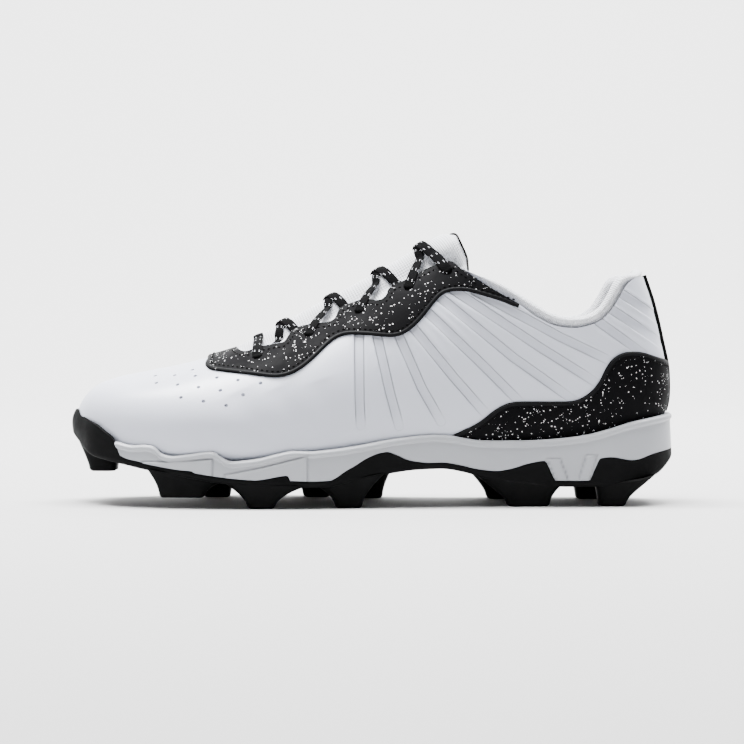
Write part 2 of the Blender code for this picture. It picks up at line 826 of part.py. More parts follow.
def build_outsole():
    along = loop_along()
    bottom = underside_height(along)
    top = rubber_top(along) + RUBBER_STEP
    shoulder = np.minimum(bottom + BOTTOM_ROUND, (bottom + top) / 2)
    middle = (shoulder + top) / 2
    levels = [(BOTTOM_ROUND * 0.7 + 0 * along, bottom),
              (0 * along, shoulder),
              (wall_inset(along, middle), middle),
              (wall_inset(along, top), top)]
    item = plan_solid("outsole", levels)
    for name, sizes in STUDS.items():
        boolean(item, stud(name, *sizes), "UNION")
    boolean(item, rubber_zone("rubber_keep", 0.0), "INTERSECT")
    boolean(item, form("last_cut", CLEARANCE), "DIFFERENCE")
    return item


def build_upper():
    item = form("upper", 0.0)
    boolean(item, form("hollow", -UPPER_WALL), "DIFFERENCE")
    boolean(item, above("opening", TOPLINE), "DIFFERENCE")
    along = loop_along()
    inset = LASTING_MARGIN + 0 * along
    floor = base_height(along)
    boolean(item, plan_solid("underneath", [(inset, floor - SOLE_STACK), (inset, floor + LASTING_MARGIN / 2)]),
            "DIFFERENCE")
    return boolean(item, eyelet_pins("eyelet_holes"), "DIFFERENCE")


def build_insole():
    """Footbed on the lasting margin, cut to the inside of the upper."""
    along = loop_along()
    inset = BOTTOM_ROUND + 0 * along
    bottom = base_height(along) - SOLE_STACK / 2
    top = base_height(along) + UPPER_WALL + CLEARANCE + INSOLE_THICKNESS
    item = form("insole", -UPPER_WALL - CLEARANCE)
    boolean(item, plan_solid("bed", [(inset, bottom), (inset, top)]), "INTERSECT")
    return item


def film(name, thickness):
    """A thin layer over the upper, a clearance away from it."""
    item = form(name, CLEARANCE + thickness)
    return boolean(item, form("under", CLEARANCE), "DIFFERENCE")


def build_eyestay():
    item = film("eyestay", OVERLAY_THICKNESS)
    edge = side_outline(EYESTAY_EDGE)
    outline = edge + [(edge[-1][0] + CLEARANCE, SKY), (edge[0][0] - CLEARANCE, SKY)]
    boolean(item, prism("patch", outline, FAR), "INTERSECT")
    boolean(item, above("opening", TOPLINE), "DIFFERENCE")
    return boolean(item, eyelet_pins("eyelet_holes"), "DIFFERENCE")


def below(name, line):
    """Everything under a side view line."""
    return prism(name, line + [(line[-1][0], -SKY), (line[0][0], -SKY)], FAR)


def build_counter():
    """Film round the heel, under its own edge and over the midsole."""
    item = film("heel_counter", OVERLAY_THICKNESS)
    boolean(item, below("patch", side_outline(COUNTER_EDGE)), "INTERSECT")
    midsole_edge = [(along_to_x(along), float(bite_height(along)) + CLEARANCE)
                    for along in np.linspace(COUNTER_EDGE[0][0] - CLEARANCE, COUNTER_EDGE[-1][0], COUNTER_STEPS)]
    boolean(item, below("midsole_edge", midsole_edge), "DIFFERENCE")
    return item


def build_strip():
    item = film("heel_strip", STRIP_THICKNESS)
    low = [(along, height) for along, height in lift_table(COUNTER_EDGE, 2 * CLEARANCE) if along > STRIP_FROM]
    top = [(along, height) for along, height in TOPLINE if along > STRIP_FROM]
    edge = side_outline(low) + side_outline(top)[::-1]
    boolean(item, prism("band", edge, STRIP_WIDTH / 2), "INTERSECT")
    return item


def tongue_rise(part, share):
    """How far the tongue's face stands over the last, at a part of its length and a share of its width."""
    swell = max(0.0, 1 - (abs(share) / TONGUE_SHARES[2]) ** 2) ** TONGUE_CROWN_POWER
    free = ramp(part, *TONGUE_FREE)
    crown = UPPER_WALL + TONGUE_CLEARANCE + TONGUE_SWELL * blend(TONGUE_THIN_END, 1, part)
    tuck = ramp(part, *TONGUE_TUCK) * ramp(abs(share), *TONGUE_WING) * (COLLAR_PAD + TONGUE_CLEARANCE)
    return swell * free * crown - UPPER_WALL - TONGUE_CLEARANCE - tuck


def arc_length(station, side):
    dense = half_section(smooth_rows(LAST_ROWS, [station])[0], side)
    return np.sum(np.linalg.norm(np.diff(dense, axis=0), axis=1))


def build_tongue():
    """Padded tongue that follows the last under the eyestay and swells in the throat."""
    widths = [side * share for side, share in [(LATERAL, share) for share in TONGUE_SHARES[:0:-1]]]
    widths += [0.0] + [MEDIAL * share for share in TONGUE_SHARES[1:]]
    points = []
    for part in np.linspace(0, 1, TONGUE_STATIONS):
        outer = []
        inner = []
        for share in widths:
            station = TONGUE_START + (TONGUE_END - TONGUE_START + TONGUE_WRAP * share ** 2) * part
            place = share * TONGUE_HALF_WIDTH / arc_length(station, LATERAL if share < 0 else MEDIAL)
            thin = (1 - share ** 2) ** 0.5 * blend(TONGUE_THIN_END, 1, part)
            pad = TONGUE_EDGE + (TONGUE_PAD - TONGUE_EDGE) * thin
            rise = tongue_rise(part, share)
            outer.append(surface_point(station, place, rise))
            inner.append(surface_point(station, place, rise - pad))
        points += outer + inner[::-1]
    count = 2 * len(widths)
    faces = ring_faces(TONGUE_STATIONS, count)
    faces.append(tuple(range(count)))
    faces.append(tuple(range(len(points) - 1, len(points) - count - 1, -1)))
    return mesh_object("tongue", points, faces)


def eyelet_places(side):
    return [side_place(along, height, side) for along, height in EYELETS]


def eyelet_pins(name):
    """Ten pins through upper and eyestay, one an eyelet."""
    points = []
    faces = []
    for side in (LATERAL, MEDIAL):
        for station, share in eyelet_places(side):
            low = surface_point(station, share, -2 * UPPER_WALL)
            high = surface_point(station, share, UPPER_WALL + OVERLAY_THICKNESS)
            axis = Vector(high - low).normalized()
            first = axis.orthogonal().normalized() * EYELET_RADIUS
            second = axis.cross(first)
            start = len(points)
            for end in (low, high):
                for corner in range(EYELET_SIDES):
                    angle = 2 * math.pi * corner / EYELET_SIDES
                    points.append(Vector(end) + first * math.cos(angle) + second * math.sin(angle))
            faces += [tuple(corner + start for corner in face) for face in ring_faces(2, EYELET_SIDES)]
            faces.append(tuple(range(start, start + EYELET_SIDES)))
            faces.append(tuple(range(start + 2 * EYELET_SIDES - 1, start + EYELET_SIDES - 1, -1)))
    return mesh_object(name, points, faces)


def lace_run(name, start, end, first, last, lift=0.0):
    """A flat oval run of lace over film and tongue, along a part of the way between two eyelets."""
    points = []
    for part in np.linspace(first, last, LACE_POINTS):
        station = start[0] + (end[0] - start[0]) * part
        share = start[1] + (end[1] - start[1]) * part
        side = LATERAL if share < 0 else MEDIAL
        across = share * arc_length(station, side) / TONGUE_HALF_WIDTH
        along = min(max((station - TONGUE_START) / (TONGUE_END - TONGUE_START), 0), 1)
        carrier = max(CLEARANCE + OVERLAY_THICKNESS, tongue_rise(along, across))
        rise = carrier + 2 * CLEARANCE + LACE_THICKNESS / 2 + lift
        centre = Vector(surface_point(station, share, rise))
        ahead = Vector(surface_point(station + (end[0] - start[0]) * LACE_LOOK,
                                     share + (end[1] - start[1]) * LACE_LOOK, rise))
        up = (centre - Vector(surface_point(station, share, 0.0))).normalized()
        wide = up.cross((ahead - centre).normalized()).normalized()
        for corner in range(LACE_SIDES):
            angle = 2 * math.pi * corner / LACE_SIDES
            points.append(centre + wide * math.cos(angle) * LACE_WIDTH / 2
                          + up * math.sin(angle) * LACE_THICKNESS / 2)
    faces = ring_faces(LACE_POINTS, LACE_SIDES)
    faces.append(tuple(range(LACE_SIDES)))
    faces.append(tuple(range(len(points) - 1, len(points) - LACE_SIDES - 1, -1)))
    return mesh_object(name, points, faces)


def build_laces():
    """A straight bar over the front eyelets, then a joined crossing between each pair of eyelets."""
    lateral = eyelet_places(LATERAL)
    medial = eyelet_places(MEDIAL)
    items = [lace_run("lace_bar", lateral[0], medial[0], 0.0, 1.0)]
    for place, (first, last) in enumerate(LACE_REACH):
        item = lace_run(f"lace_crossing_{place + 1}", lateral[place], medial[place + 1], first, last)
        over = lace_run("over", medial[place], lateral[place + 1], first, last, LACE_THICKNESS / 2)
        items.append(boolean(item, over, "UNION"))
    return items


def collar_path():
    """Stations and shares along the collar's rim: lateral side, heel, medial side past a share of one."""
    rim = [row for row in TOPLINE if COLLAR_FRONT <= row[0] <= COLLAR_BACK]
    lateral = [side_place(along, height, LATERAL) for along, height in rim]
    medial = [side_place(along, height, MEDIAL) for along, height in rim]
    goal = base_height(1.0) + TOPLINE[-2][1] * UPPER_HEIGHT
    stations = np.linspace(LAST_END - 4, LAST_END, 200)
    heights = smooth_rows(LAST_ROWS, stations)[:, 3]
    heel = float(np.interp(goal, heights, stations))
    path = lateral + [(heel, -1.0)] + [(station, share - 2) for station, share in medial[::-1]]
    path = np.array(path)
    steps = np.concatenate([[0], np.cumsum(np.hypot(np.diff(path[:, 0]), 8 * np.diff(path[:, 1])))])
    guide = np.vstack([2 * path[0] - path[1], path, 2 * path[-1] - path[-2]])
    places = np.interp(np.linspace(0, steps[-1], COLLAR_STATIONS), steps, np.arange(len(path)))
    return smooth_rows(guide, places)


def wall_room():
    """The space of the upper's wall with a clearance all round."""
    item = form("wall_room", CLEARANCE)
    boolean(item, form("inside", -UPPER_WALL - CLEARANCE), "DIFFERENCE")
    return boolean(item, above("over", lift_table(TOPLINE, CLEARANCE)), "DIFFERENCE")


def build_collar():
    """Padded knit collar: a lining band inside the upper with a roll over its top edge."""
    guide = form("guide", -UPPER_WALL - COLLAR_CLEARANCE)
    tree = BVHTree.FromPolygons([vertex.co.copy() for vertex in guide.data.vertices],
                                [tuple(face.vertices) for face in guide.data.polygons])
    bpy.data.objects.remove(guide, do_unlink=True)
    path = [(station, share if share >= -1 else share + 2) for station, share in collar_path()]
    rim = [Vector(surface_point(station, share, 0.0)) for station, share in path]
    outward = [(Vector(surface_point(station, share, UPPER_WALL)) - point).normalized()
               for (station, share), point in zip(path, rim)]
    points = []
    for place, (point, out) in enumerate(zip(rim, outward)):
        tangent = (rim[min(place + 1, len(rim) - 1)] - rim[max(place - 1, 0)]).normalized()
        up = tangent.cross(out).normalized()
        if up.z < 0:
            up = -up
        outer = []
        inner = []
        for share in COLLAR_SHARES + (-COLLAR_CLEARANCE / COLLAR_DEPTH,):
            seat, normal, _, _ = tree.find_nearest(point - up * COLLAR_DEPTH * share)
            outer.append(seat)
            inner.append(seat - normal * COLLAR_PAD * (1 - COLLAR_TAPER * max(share, 0)))
        wall = UPPER_WALL + COLLAR_PAD
        roll = [point + up * COLLAR_CLEARANCE - out * CLEARANCE]
        roll += [point + up * COLLAR_ROLL * rise - out * wall * depth for rise, depth in COLLAR_ROUND]
        points += outer + roll + inner[::-1]
    count = len(points) // len(rim)
    faces = ring_faces(len(rim), count)
    faces.append(tuple(range(count)))
    faces.append(tuple(range(len(points) - 1, len(points) - count - 1, -1)))
    return boolean(mesh_object("collar", points, faces), wall_room(), "DIFFERENCE")


def finish(item, colour, roughness, metallic=0.0):
    """Give a node its own plain material and smooth shading."""
    material = bpy.data.materials.new(item.name)
    material.use_nodes = True
    shader = material.node_tree.nodes["Principled BSDF"]
    shader.inputs["Base Color"].default_value = (*colour, 1.0)
    shader.inputs["Roughness"].default_value = roughness
    shader.inputs["Metallic"].default_value = metallic
    item.data.materials.clear()
    item.data.materials.append(material)
    item.data.shade_smooth()
    item.data.set_sharp_from_angle(angle=math.radians(35))


def main():
    clear_scene()
    finish(build_upper(), (0.80, 0.81, 0.83), 0.45)
    finish(build_midsole(), (0.55, 0.56, 0.58), 0.5)
    finish(build_outsole(), (0.03, 0.03, 0.035), 0.55)
    finish(build_insole(), (0.72, 0.72, 0.73), 0.9)
    finish(build_tongue(), (0.82, 0.82, 0.82), 0.9)
    finish(build_eyestay(), (0.03, 0.03, 0.03), 0.5)
    finish(build_counter(), (0.03, 0.03, 0.03), 0.5)
    finish(build_strip(), (0.02, 0.02, 0.02), 0.5)
    finish(build_collar(), (0.82, 0.82, 0.82), 0.9)
    for item in build_laces():
        finish(item, (0.03, 0.03, 0.03), 0.8)


main()
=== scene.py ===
"""Baseball cleat: the looks. Metres, +Z up, toe towards -X, lateral side towards -Y."""
import math

import bmesh
import bpy
import numpy as np
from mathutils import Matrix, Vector
from mathutils.bvhtree import BVHTree
from mathutils.kdtree import KDTree


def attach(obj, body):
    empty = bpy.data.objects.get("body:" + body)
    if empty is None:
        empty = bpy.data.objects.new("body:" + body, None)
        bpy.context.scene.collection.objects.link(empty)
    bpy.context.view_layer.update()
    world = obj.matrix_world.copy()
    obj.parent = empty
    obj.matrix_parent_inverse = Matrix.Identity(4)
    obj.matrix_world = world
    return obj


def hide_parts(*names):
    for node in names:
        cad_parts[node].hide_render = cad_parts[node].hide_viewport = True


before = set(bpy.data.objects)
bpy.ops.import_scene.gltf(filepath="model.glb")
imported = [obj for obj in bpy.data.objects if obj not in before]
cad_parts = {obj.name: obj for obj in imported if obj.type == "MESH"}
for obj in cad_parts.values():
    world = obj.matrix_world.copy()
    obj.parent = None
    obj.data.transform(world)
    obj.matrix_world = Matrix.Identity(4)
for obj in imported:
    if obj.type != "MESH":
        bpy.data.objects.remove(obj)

# Driving sizes, the same as the solids have
LENGTH = 0.300
BALL_WIDTH = 0.104
HEEL_WIDTH = 0.072
UPPER_HEIGHT = 0.100
STUD_LENGTH = 0.011
SOLE_THICKNESS = 0.0075
CUP_HEIGHT = 0.010
TOE_SPRING = 0.016
HEEL_LIFT = 0.010
CLEARANCE = 0.0003
WELD = 0.000004
UPPER_WALL = 0.0018
OVERLAY_THICKNESS = 0.0009
STRIP_THICKNESS = 0.0007
STRIP_WIDTH = 0.005
INSOLE_THICKNESS = 0.004
LASTING_MARGIN = 0.011
RUBBER_WALL = 0.0025
PLATE_THICKNESS = 0.0020
RUBBER_STEP = 0.0009
WALL_LEAN = 0.05
LEDGE_OUT = 0.0009
LEDGE_HEIGHT = 0.0035
BOTTOM_ROUND = 0.0022
COLLAR_PAD = 0.0050
COLLAR_DEPTH = 0.020
COLLAR_ROLL = 0.0042
COLLAR_ROUND = (
    (0.6, -0.02),
    (1.0, 0.40),
    (0.6, 0.90),
)
COLLAR_FRONT = 0.64
COLLAR_BACK = 0.93
TONGUE_PAD = 0.0050
TONGUE_EDGE = 0.0016
TONGUE_HALF_WIDTH = 0.033
TONGUE_START = 5.8
TONGUE_END = 12.05
TONGUE_WRAP = 0.75
TONGUE_TUCK = (0.60, 0.82)
TONGUE_WING = (0.45, 0.72)
TONGUE_CLEARANCE = 0.0008
EYELET_RADIUS = 0.0019
STUD_ROOT = 0.0008
STUD_FOOT_ROUND = 0.0012

# Sections of the last, each from a front or top point to a back or bottom point of the middle plane.
# Columns: front_along, front_height, back_along, back_height, spring, lift,
#          lateral, medial, widest, crown_power, base_power, swing
BALL_SECTIONS = (
    (0.009, 0.095, 0.009, 0.095, 1.00, 0.00, 0.000, 0.000, 0.50, 2.0, 2.2, 0.043),
    (0.018, 0.195, 0.017, 0.034, 0.85, 0.00, 0.130, 0.144, 0.48, 2.0, 2.4, 0.040),
    (0.042, 0.302, 0.042, 0.010, 0.62, 0.00, 0.240, 0.260, 0.42, 2.0, 3.0, 0.030),
    (0.080, 0.376, 0.080, 0.000, 0.42, 0.00, 0.332, 0.341, 0.38, 2.1, 3.6, 0.020),
    (0.133, 0.437, 0.133, 0.000, 0.24, 0.00, 0.413, 0.399, 0.36, 2.1, 4.0, 0.010),
    (0.193, 0.497, 0.193, 0.000, 0.10, 0.00, 0.466, 0.438, 0.34, 2.1, 4.0, 0.000),
    (0.257, 0.562, 0.257, 0.000, 0.02, 0.00, 0.490, 0.457, 0.33, 2.0, 4.0, 0.000),
    (0.320, 0.628, 0.320, 0.000, 0.00, 0.00, 0.495, 0.457, 0.31, 2.0, 4.0, 0.000),
    (0.387, 0.710, 0.387, 0.000, 0.00, 0.08, 0.476, 0.428, 0.29, 2.0, 4.0, 0.000),
    (0.457, 0.791, 0.457, 0.000, 0.00, 0.27, 0.438, 0.385, 0.28, 2.0, 4.0, 0.000),
    (0.527, 0.880, 0.540, 0.000, 0.00, 0.50, 0.399, 0.351, 0.27, 2.1, 4.0, 0.000),
    (0.587, 0.963, 0.633, 0.000, 0.00, 0.72, 0.364, 0.330, 0.27, 2.2, 4.0, 0.000),
)

HEEL_SECTIONS = (
    (0.623, 1.027, 0.733, 0.000, 0.00, 0.88, 0.497, 0.472, 0.28, 2.2, 4.0, 0.000),
    (0.647, 1.063, 0.833, 0.000, 0.00, 0.97, 0.486, 0.475, 0.30, 2.2, 3.6, 0.000),
    (0.663, 1.085, 0.927, 0.023, 0.00, 1.00, 0.475, 0.469, 0.33, 2.2, 2.9, 0.000),
    (0.677, 1.101, 0.982, 0.160, 0.00, 1.00, 0.461, 0.456, 0.36, 2.2, 2.4, 0.000),
    (0.688, 1.111, 0.990, 0.350, 0.00, 1.00, 0.444, 0.439, 0.38, 2.2, 2.3, 0.000),
    (0.700, 1.118, 0.979, 0.535, 0.00, 1.00, 0.431, 0.425, 0.38, 2.2, 2.2, 0.000),
    (0.712, 1.123, 0.965, 0.710, 0.00, 1.00, 0.424, 0.417, 0.38, 2.2, 2.2, 0.000),
    (0.723, 1.127, 0.948, 0.865, 0.00, 1.00, 0.424, 0.417, 0.38, 2.2, 2.2, 0.000),
    (0.737, 1.130, 0.933, 1.025, 0.00, 1.00, 0.424, 0.417, 0.38, 2.2, 2.2, 0.000),
)

# Rise of the last's bottom. Columns: along, spring, lift
BASE_RISE = (
    (0.000, 1.00, 0.00),
    (0.018, 0.85, 0.00),
    (0.042, 0.62, 0.00),
    (0.080, 0.42, 0.00),
    (0.133, 0.24, 0.00),
    (0.193, 0.10, 0.00),
    (0.257, 0.02, 0.00),
    (0.320, 0.00, 0.00),
    (0.387, 0.00, 0.08),
    (0.457, 0.00, 0.27),
    (0.540, 0.00, 0.50),
    (0.633, 0.00, 0.72),
    (0.733, 0.00, 0.88),
    (0.833, 0.00, 0.97),
    (0.927, 0.00, 1.00),
    (1.000, 0.00, 1.00),
)

# Plan of the sole. Columns: along, lateral and medial reach
BALL_PLAN = (
    (0.000, -0.038, 0.038),
    (0.012, 0.087, 0.163),
    (0.043, 0.255, 0.303),
    (0.097, 0.370, 0.394),
    (0.167, 0.452, 0.452),
    (0.247, 0.498, 0.476),
    (0.333, 0.510, 0.474),
    (0.427, 0.481, 0.428),
    (0.527, 0.423, 0.363),
)

HEEL_PLAN = (
    (0.627, 0.539, 0.472),
    (0.727, 0.511, 0.472),
    (0.820, 0.506, 0.486),
    (0.897, 0.490, 0.478),
    (0.953, 0.400, 0.388),
    (0.988, 0.225, 0.218),
    (0.999, 0.000, 0.000),
)

# Top edge of the midsole. Columns: along, height as a share of CUP_HEIGHT
BITE_LINE = (
    (0.000, 0.20),
    (0.060, 0.30),
    (0.074, 0.60),
    (0.088, 0.70),
    (0.103, 0.68),
    (0.140, 0.86),
    (0.149, 0.80),
    (0.160, 0.55),
    (0.173, 0.49),
    (0.202, 0.65),
    (0.243, 0.88),
    (0.254, 0.72),
    (0.264, 0.53),
    (0.274, 0.44),
    (0.285, 0.47),
    (0.317, 0.60),
    (0.347, 0.80),
    (0.374, 0.91),
    (0.407, 0.82),
    (0.440, 0.82),
    (0.481, 0.88),
    (0.522, 0.99),
    (0.550, 1.04),
    (0.588, 1.06),
    (0.628, 0.94),
    (0.651, 0.76),
    (0.680, 0.60),
    (0.718, 0.53),
    (0.765, 0.49),
    (0.815, 0.56),
    (0.852, 0.70),
    (0.889, 0.97),
    (0.927, 1.29),
    (1.000, 1.66),
)

# Top edge of the rubber, in the columns of BITE_LINE
RUBBER_LINE = (
    (0.000, 1.20),
    (0.010, 1.29),
    (0.021, 1.17),
    (0.042, 1.19),
    (0.060, 1.02),
    (0.077, 0.78),
    (0.085, 0.40),
    (0.091, 0.04),
    (0.103, -0.04),
    (0.123, -0.06),
    (0.144, -0.17),
    (0.210, -0.16),
    (0.219, -0.38),
    (0.243, -0.41),
    (0.274, -0.54),
    (0.319, -0.45),
    (0.364, -0.28),
    (0.370, -0.60),
    (0.390, -0.66),
    (0.423, -0.76),
    (0.440, -0.63),
    (0.456, -0.35),
    (0.471, -0.14),
    (0.491, 0.17),
    (0.512, 0.37),
    (0.524, 0.40),
    (0.539, 0.23),
    (0.559, -0.09),
    (0.578, -0.25),
    (0.624, -0.47),
    (0.653, -0.66),
    (0.681, -0.86),
    (0.705, -0.95),
    (0.727, -0.87),
    (0.755, -0.65),
    (0.781, -0.55),
    (0.793, -1.22),
    (0.800, -1.60),
    (0.852, -1.62),
    (0.862, -1.04),
    (0.872, -0.49),
    (0.889, -0.44),
    (0.927, -0.60),
    (0.964, -0.30),
    (1.000, -0.10),
)

# Depth of the plate's underside. Columns: along, share of SOLE_THICKNESS
UNDERSIDE = (
    (0.000, 0.07),
    (0.013, 0.30),
    (0.033, 0.59),
    (0.067, 0.50),
    (0.100, 0.47),
    (0.133, 0.52),
    (0.183, 0.60),
    (0.233, 0.78),
    (0.283, 0.95),
    (0.367, 1.12),
    (0.433, 1.32),
    (0.473, 1.10),
    (0.517, 0.91),
    (0.567, 0.80),
    (0.613, 0.87),
    (0.650, 1.20),
    (0.683, 1.67),
    (0.717, 2.05),
    (0.767, 2.35),
    (0.850, 2.47),
    (0.917, 2.30),
    (0.967, 1.80),
    (1.000, 0.75),
)

# Throat and collar line seen from the side. Columns: along, height as a share of UPPER_HEIGHT
TOPLINE = (
    (0.270, 0.595),
    (0.290, 0.572),
    (0.315, 0.596),
    (0.341, 0.611),
    (0.355, 0.617),
    (0.363, 0.648),
    (0.372, 0.679),
    (0.395, 0.696),
    (0.427, 0.700),
    (0.439, 0.715),
    (0.448, 0.763),
    (0.471, 0.787),
    (0.490, 0.795),
    (0.511, 0.782),
    (0.523, 0.803),
    (0.528, 0.835),
    (0.546, 0.861),
    (0.566, 0.885),
    (0.596, 0.925),
    (0.620, 0.945),
    (0.632, 0.942),
    (0.647, 0.902),
    (0.679, 0.833),
    (0.710, 0.771),
    (0.742, 0.711),
    (0.763, 0.660),
    (0.792, 0.612),
    (0.813, 0.596),
    (0.834, 0.592),
    (0.855, 0.604),
    (0.872, 0.626),
    (0.888, 0.669),
    (0.901, 0.725),
    (0.915, 0.794),
    (0.928, 0.828),
    (0.945, 0.840),
    (1.020, 0.845),
)

# Lower edge of the eyestay, in the columns of TOPLINE
EYESTAY_EDGE = (
    (0.232, 0.530),
    (0.229, 0.505),
    (0.236, 0.488),
    (0.250, 0.483),
    (0.282, 0.476),
    (0.319, 0.465),
    (0.344, 0.456),
    (0.365, 0.464),
    (0.386, 0.494),
    (0.407, 0.543),
    (0.427, 0.597),
    (0.442, 0.625),
    (0.459, 0.636),
    (0.490, 0.626),
    (0.531, 0.605),
    (0.548, 0.611),
    (0.560, 0.630),
    (0.573, 0.661),
    (0.589, 0.713),
    (0.602, 0.760),
    (0.614, 0.792),
    (0.631, 0.805),
    (0.656, 0.799),
    (0.677, 0.779),
    (0.708, 0.746),
    (0.739, 0.706),
)

# Upper edge of the heel counter, in the columns of TOPLINE
COUNTER_EDGE = (
    (0.629, 0.083),
    (0.648, 0.105),
    (0.666, 0.127),
    (0.681, 0.153),
    (0.696, 0.187),
    (0.711, 0.214),
    (0.726, 0.229),
    (0.745, 0.231),
    (0.792, 0.226),
    (0.825, 0.226),
    (0.843, 0.242),
    (0.860, 0.278),
    (0.873, 0.327),
    (0.881, 0.376),
    (0.891, 0.423),
    (0.906, 0.454),
    (0.922, 0.463),
    (0.943, 0.458),
    (0.970, 0.434),
    (1.020, 0.395),
)

# Eyelets, front to back, in the columns of TOPLINE
EYELETS = (
    (0.314, 0.537),
    (0.397, 0.637),
    (0.479, 0.727),
    (0.560, 0.822),
    (0.626, 0.888),
)

# Studs. Columns: along and across at the foot, height of the foot, foot length and width,
# base length and width, shift of the base
STUDS = {
    "toe": (0.052, 0.030, 1.42, 0.120, 0.150, 0.200, 0.230, -0.020),
    "lateral_front": (0.192, -0.360, 0.45, 0.200, 0.110, 0.370, 0.190, 0.020),
    "medial_front": (0.235, 0.370, 0.00, 0.120, 0.110, 0.240, 0.180, -0.010),
    "lateral_ball": (0.321, -0.420, 0.00, 0.115, 0.110, 0.400, 0.180, 0.020),
    "medial_ball": (0.405, 0.370, 0.00, 0.120, 0.110, 0.260, 0.180, 0.010),
    "lateral_waist": (0.462, -0.360, 0.00, 0.115, 0.110, 0.330, 0.180, 0.010),
    "medial_waist": (0.497, 0.300, 0.00, 0.110, 0.100, 0.230, 0.160, 0.010),
    "lateral_heel_front": (0.755, -0.265, 0.00, 0.190, 0.110, 0.420, 0.180, -0.050),
    "medial_heel_front": (0.722, 0.255, 0.00, 0.150, 0.110, 0.330, 0.180, -0.030),
    "lateral_heel_back": (0.892, -0.250, 0.00, 0.120, 0.110, 0.280, 0.180, 0.060),
    "medial_heel_back": (0.868, 0.250, 0.00, 0.120, 0.110, 0.260, 0.180, 0.040),
}

# Details that the solids leave out
TOE_FINENESS = 1.12
TINY = 1e-12
# Stations and points of a form: the film's outside, the upper
FILM_FINE = (230, 170)
UPPER_FINE = (290, 264)
TONGUE_FINE = 130
COLLAR_FINE = 230
# Share of the wall past which a face of the upper is lining
LINING_DEPTH = 0.75
# Weights of stations and shares along the collar's rim, and how many steps its smoothing reaches
RIM_SCALE = (1.0, 8.0)
RIM_SMOOTH = 9
TONGUE_CROWN = 0.34
TONGUE_SPREAD = 0.85
TONGUE_CORNER = 0.86
TONGUE_RUN = 0.130
TONGUE_BINDING = 0.0011
# How far the top end leans back, in stations: its middle, its wings, and less at its edges
TONGUE_LEAN = (0.35, 0.30, 0.10)
# Crest of the tongue over the last. Columns: part of its length, rise
TONGUE_CREST = (
    (0.00, -0.0026),
    (0.10, 0.0015),
    (0.25, 0.0038),
    (0.45, 0.0054),
    (0.65, 0.0060),
    (0.85, 0.0064),
    (1.00, 0.0038),
)
CHANNEL_WIDTH = 0.0046
CHANNEL_EDGE = 0.0007
CHANNEL_CRISP = 0.00022
CHANNEL_DEPTH = 0.0006
CHANNEL_RIM = 0.0006
CHANNEL_FADE = 0.85
RIM_HEIGHT = 0.00035
# Channels pressed into the quarter, from the eyestay down. Each place: along, height
CHANNELS = (
    ((0.479, 0.640), (0.480, 0.312), (0.482, 0.183)),
    ((0.506, 0.640), (0.529, 0.330), (0.544, 0.161)),
    ((0.538, 0.640), (0.580, 0.342), (0.612, 0.165)),
    ((0.560, 0.660), (0.632, 0.380), (0.685, 0.190)),
    ((0.580, 0.735), (0.680, 0.428), (0.743, 0.231)),
    ((0.600, 0.800), (0.730, 0.457), (0.834, 0.227)),
    ((0.625, 0.820), (0.773, 0.502), (0.873, 0.309)),
    ((0.668, 0.790), (0.805, 0.551), (0.894, 0.420)),
    ((0.870, 0.618), (0.942, 0.464)),
    ((0.880, 0.700), (0.974, 0.516)),
    ((0.892, 0.785), (0.980, 0.620)),
)
# Soft folds where the forefoot bends. Columns: along and height at both ends, half width, depth
FOLDS = (
    (0.285, 0.38, 0.330, 0.12, 0.0080, 0.0009),
    (0.350, 0.40, 0.395, 0.12, 0.0075, 0.0008),
    (0.415, 0.42, 0.445, 0.15, 0.0070, 0.0006),
)
PERFORATION = 0.0019
# Vent holes of the vamp, in the columns of TOPLINE
PERFORATIONS = (
    (0.144, 0.418),
    (0.177, 0.435),
    (0.206, 0.470),
    (0.212, 0.443),
    (0.248, 0.443),
    (0.283, 0.435),
    (0.320, 0.423),
    (0.148, 0.387),
    (0.184, 0.394),
    (0.219, 0.392),
    (0.255, 0.384),
    (0.292, 0.368),
    (0.191, 0.336),
    (0.228, 0.328),
    (0.265, 0.314),
)
COLLAR_TURN = 0.90
COLLAR_TILT = 0.35
COLLAR_END = 16
COLLAR_SWELL = 1.30
PAD_EDGE = 0.0008
GROOVE_WIDTH = 0.0005
GROOVE_DEPTH = 0.0004
LEDGE_ROUND = 0.0012
# Pads of the midsole's wall. Columns: first and last along, top at both, low, rise, slant going down
WALL_PADS = (
    (0.128, 0.244, 0.02, 0.56, -1.2, 0.0006, 0.0),
    (0.262, 0.398, -0.20, 0.66, -2.0, 0.0008, 0.0),
    (0.785, 0.806, -0.42, -0.44, -1.90, 0.0006, 1.29),
    (0.849, 0.867, -0.28, -0.30, -1.90, 0.0006, -1.11),
)
# Toe bumper's front: how far it reaches back, its inset at the top, its swell below
NOSE = (0.05, 0.0016, 0.0007)
SOLE_FINE = 400
STUD_FINE = 28
# Powers of a stud's flare down its height and of its squared corners
STUD_FLARE = 1.9
STUD_SQUARE = 0.45
EDGE_MATCH = 0.0006
LIP_WIDTH = 0.0019
LIP_HEIGHT = 0.0012
# Width of the thin black line laid on the upper under each film edge: a painted shadow
SHADOW_LINE_WIDTH = 0.0011
STITCH_INSET = 0.0021
STITCH_LENGTH = 0.0017
STITCH_PITCH = 0.0027
STITCH_RADIUS = 0.00036
STITCH_SIDES = 6
# Swell of one stitch along its length. Columns: share of the radius, lift
STITCH_SHAPE = ((0.35, -0.6), (0.85, 0.3), (1.0, 0.55), (0.85, 0.3), (0.35, -0.6))

